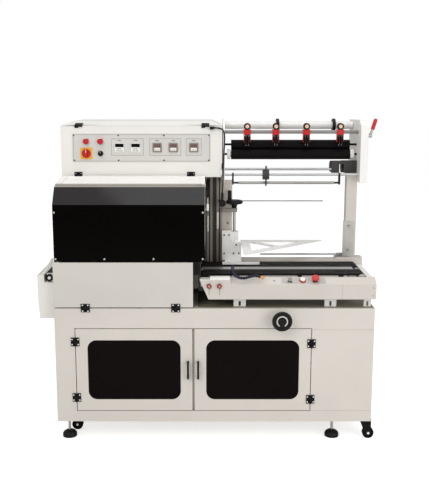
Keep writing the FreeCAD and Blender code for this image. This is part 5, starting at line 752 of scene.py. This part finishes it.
class SEALER_OT_wheel_fittings(bpy.types.Operator):
    """Handwheel painted reflection arc, perforator teeth and machine screws."""

    bl_idname = "sealer.wheel_fittings"
    bl_label = "Wheel fittings"

    def execute(self, context):
        teeth = context.scene.sealer.tooth_count
        low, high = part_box("front_handwheel")
        wheel_y = low[1] / MM

        # a light grey open arc on the wheel's dished face: painted reflection of the recess ring
        def painted_reflection_arc(bm):
            steps = 48
            for k in range(steps - 8):
                a0 = math.radians(-60) + 2 * math.pi * k / steps
                a1 = a0 + 2 * math.pi / steps
                corners = []
                for depth in (4.6, 3.6):
                    for radius, angle in ((18, a0), (25.5, a0), (25.5, a1), (18, a1)):
                        corners.append(bm.verts.new(Vector((
                            318 + radius * math.cos(angle), wheel_y + depth,
                            594 + radius * math.sin(angle))) * MM))
                bm.faces.new(corners[4:])
                for j in range(4):
                    bm.faces.new((corners[j], corners[(j + 1) % 4], corners[4 + (j + 1) % 4],
                                  corners[4 + j]))

        new_piece("handwheel_painted_reflection", painted_reflection_arc, "plate_film", "front_wheel")
        disc_y, disc_z = -22.0, 1370.0

        def needle_rings(bm):
            for x in (175.0, 311.0, 456.0, 616.0):
                for k in range(teeth):
                    angle = 2 * math.pi * k / teeth
                    spin = Matrix.Rotation(angle, 4, "X")
                    for side in (-6.0, 6.0):
                        base = spin @ Vector((0, 22.3, 0))
                        turned(bm, [(1.3, -0.5), (0.8, 1.2), (0.1, 2.4)],
                               (x + side, disc_y + base.y, disc_z + base.z),
                               steps=8, matrix=spin @ Matrix.Rotation(math.radians(-90), 4, "X"))

        new_piece("perforator_needles", needle_rings, "zinc", "perforator")

        def roller_ends(bm):
            for x0, x1 in ((80.0, 99.7), (669.3, 690.0)):
                turned(bm, [(23.0, 0), (24.0, 1.5), (24.0, x1 - x0 - 4), (15.0, x1 - x0 - 2),
                            (15.0, x1 - x0)], (x0, 8.0, 1304.0), "X", 32)

        new_piece("feed_roller_ends", roller_ends, "white_plastic", "feed")

        def column_strips(bm):
            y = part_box("cabinet_frame")[0][1] / MM + 350
            slab(bm, (-15.5, y - 0.5, 931), (-7.5, y + 0.3, 1008), 0.2, 0)
            slab(bm, (31.5, y - 0.5, 945), (40.5, y + 0.3, 1026), 0.2, 0)

        new_piece("column_strips", column_strips, "column_back", "machine")

        def guards(bm):
            for x in (175.0, 311.0, 456.0, 616.0):
                slab(bm, (x - 12, -28, 1392.9), (x + 12, -15, 1398.2), 0.8)

        new_piece("perforator_guards", guards, "black_nylon", "machine")

        def foot_domes(bm):
            for x in (-663.0, 572.0):
                for y in (-290.0, 367.5):
                    turned(bm, [(33, 6), (33, 14), (29, 21), (21, 27), (11, 31), (6.5, 32)],
                           (x, y, 0), "Z", 36)

        new_piece("foot_domes", foot_domes, "black_nylon", "machine")

        def foot_nuts(bm):
            for x in (-663.0, 572.0):
                for y in (-290.0, 367.5):
                    turned(bm, [(9.5, 86), (10.5, 88), (10.5, 96), (9.5, 98)], (x, y, 0),
                           "Z", 6)

        new_piece("foot_lock_nuts", foot_nuts, "zinc", "machine")

        def axle_caps(x, y, z):
            return lambda bm: turned(bm, [(6, -0.5), (6, 1.2), (4, 2.4), (0, 2.8)], (x, y, z),
                                     "Y", 20)

        for side, body in (("left_caster_fork", "left_swivel"),
                           ("right_caster_fork", "right_swivel")):
            low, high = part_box(side)
            axle_x = {"left_swivel": -638.0, "right_swivel": 738.0}[body]
            new_piece(body + "_axle_cap", axle_caps(axle_x, low[1] / MM, 26.0), "pale_steel",
                      body)

        # a thin dark sheet on the cabinet top under the conveyor: painted shade where the conveyor
        # shades the deck
        def top_sheet(bm):
            slab(bm, (-58, -355, 640.1), (735, -45, 640.7), 0.2)

        new_piece("top_sheet_painted_shade", top_sheet, "deck_shade", "machine")

        def bolt_caps(bm):
            for z in (842.0, 960.0):
                turned(bm, [(3.4, -0.6), (3.1, 0.4), (0, 0.7)], (669, -41.0, z), "Y", 18)
            turned(bm, [(2.6, -0.6), (2.4, 0.4), (0, 0.7)], (86, 21.0, 966.0), "Y", 18)

        new_piece("post_bolt_caps", bolt_caps, "pale_steel", "machine")

        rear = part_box("seal_housing")[1][1] / MM

        def rear_cover(bm):
            slab(bm, (-648, rear - 0.3, 690), (2, rear + 1.5, 1150), 0.6)

        new_piece("rear_service_cover", rear_cover, "box_coat", "machine")

        def rear_screws(bm):
            for x in (-636.0, -430.0, -216.0, -10.0):
                for z in (702.0, 1138.0):
                    turned(bm, [(4.6, -0.3), (4.4, 1.2), (2.8, 2.3), (0, 2.6)],
                           (x, rear + 1.5, z), "Z", 18,
                           matrix=Matrix.Rotation(math.radians(-90), 4, "X"))

        new_piece("rear_cover_screws", rear_screws, "zinc", "machine")

        # the vent slots are thin dark slabs on the rear face: painted shade inside the openings
        def rear_vents(bm):
            for x in (-560.0, -150.0):
                for k in range(7):
                    z = 1300.0 + 11 * k
                    slab(bm, (x - 52, rear - 0.2, z), (x + 52, rear + 0.35, z + 4), 0.15)

        new_piece("control_box_vents", rear_vents, "dark_inside", "machine")

        def leaf_screws(spots):
            def made(bm):
                for x, z in spots:
                    turned(bm, [(3.3, -0.3), (3.0, 0.7), (0, 1.1)], (x, -376.0, z), "Y", 14)
            return made

        groups = {"machine": [], "left_door_leaf": [], "right_door_leaf": [],
                  "access_flap": []}
        for x, z, side, leaf in ((-610.5, 485, 1, "left_door_leaf"),
                                 (-610.5, 221, 1, "left_door_leaf"),
                                 (456.5, 477, -1, "right_door_leaf"),
                                 (456.5, 212, -1, "right_door_leaf")):
            for up in (-12.0, 12.0):
                groups[leaf].append((x + 13.7 * side, z + up))
                groups["machine"].append((x - 13.7 * side, z + up))
        for x in (-560.5, -155.5):
            for across in (-12.0, 12.0):
                groups["access_flap"].append((x + across, 642.5 + 13.7))
                groups["machine"].append((x + across, 642.5 - 13.7))
        for body, spots in groups.items():
            new_piece(body + "_hinge_screws", leaf_screws(spots), "pale_steel", body)
        return {"FINISHED"}


class SEALER_OT_stage(bpy.types.Operator):
    """Pale floor, soft studio light and the camera."""

    bl_idname = "sealer.stage"
    bl_label = "Stage"

    def execute(self, context):
        scene = context.scene
        settings = scene.sealer
        scene.view_settings.view_transform = "Standard"
        mesh = bpy.data.meshes.new("studio_floor")
        bm = bmesh.new()
        bmesh.ops.create_grid(bm, x_segments=2, y_segments=2, size=9.0)
        bm.to_mesh(mesh)
        bm.free()
        floor = bpy.data.objects.new("studio_floor", mesh)
        mesh.materials.append(studio_surface("studio_floor_paint", settings.floor_colour, 0.62))
        scene.collection.objects.link(floor)
        world = bpy.data.worlds.new("studio_world")
        scene.world = world
        world.use_nodes = True
        tree = world.node_tree
        tree.nodes.clear()
        plain = add(tree, "ShaderNodeBackground", {"Color": (1, 1, 1, 1), "Strength": 0.46})
        seen = add(tree, "ShaderNodeBackground", {"Color": (1, 1, 1, 1), "Strength": 1.0})
        path = add(tree, "ShaderNodeLightPath")
        pick = add(tree, "ShaderNodeMixShader", Fac=path.outputs["Is Camera Ray"])
        tree.links.new(plain.outputs[0], pick.inputs[1])
        tree.links.new(seen.outputs[0], pick.inputs[2])
        out = add(tree, "ShaderNodeOutputWorld")
        tree.links.new(pick.outputs[0], out.inputs["Surface"])
        lamps = (("key_softbox", (-1.8, -3.6, 3.4), 2.4, 58.0),
                 ("fill_softbox", (2.6, -3.0, 1.5), 2.6, 42.0),
                 ("top_softbox", (0.2, -0.2, 4.2), 3.0, 46.0))
        for name, spot, size, power in lamps:
            lamp = bpy.data.lights.new(name, "AREA")
            lamp.size = size
            lamp.energy = power
            holder = bpy.data.objects.new(name, lamp)
            holder.location = spot
            aim = Vector((0, 0, 0.75)) - Vector(spot)
            holder.rotation_euler = aim.to_track_quat("-Z", "Y").to_euler()
            scene.collection.objects.link(holder)
        lens = bpy.data.cameras.new("camera")
        lens.sensor_fit = "VERTICAL"
        lens.sensor_height = 24.0
        lens.lens = 39.15
        lens.shift_x = 0.0115
        camera = bpy.data.objects.new("camera", lens)
        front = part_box("cabinet_frame")[0][1]
        camera.location = (-0.0065, front - settings.camera_distance, settings.camera_height)
        camera.rotation_euler = (math.radians(90 - 10.137), 0, 0)
        scene.collection.objects.link(camera)
        scene.camera = camera
        return {"FINISHED"}


STEPS = (SEALER_OT_stage, SEALER_OT_finishes, SEALER_OT_cords, SEALER_OT_instruments,
         SEALER_OT_hood_fittings, SEALER_OT_conveyor_fittings, SEALER_OT_wheel_fittings)


class SEALER_PT_panel(bpy.types.Panel):
    """Lists the sealer's settings and its steps."""

    bl_idname = "SEALER_PT_panel"
    bl_label = "L bar sealer"
    bl_space_type = "VIEW_3D"
    bl_region_type = "UI"
    bl_category = "Sealer"

    def draw(self, context):
        for word in SealerSettings.__annotations__:
            self.layout.prop(context.scene.sealer, word)
        for step in STEPS:
            self.layout.operator(step.bl_idname)


def register():
    """Register the settings, the operators and the panel."""
    bpy.utils.register_class(SealerSettings)
    bpy.types.Scene.sealer = bpy.props.PointerProperty(type=SealerSettings)
    for step in STEPS:
        bpy.utils.register_class(step)
    bpy.utils.register_class(SEALER_PT_panel)


def unregister():
    """Take everything back out."""
    bpy.utils.unregister_class(SEALER_PT_panel)
    for step in reversed(STEPS):
        bpy.utils.unregister_class(step)
    del bpy.types.Scene.sealer
    bpy.utils.unregister_class(SealerSettings)


def main():
    """Dress the machine."""
    register()
    for step in STEPS:
        group, word = step.bl_idname.split(".")
        result = getattr(getattr(bpy.ops, group), word)()
        if result != {"FINISHED"}:
            raise RuntimeError("%s did not finish" % step.bl_idname)
    bpy.context.view_layer.update()


if __name__ == "__main__":
    main()
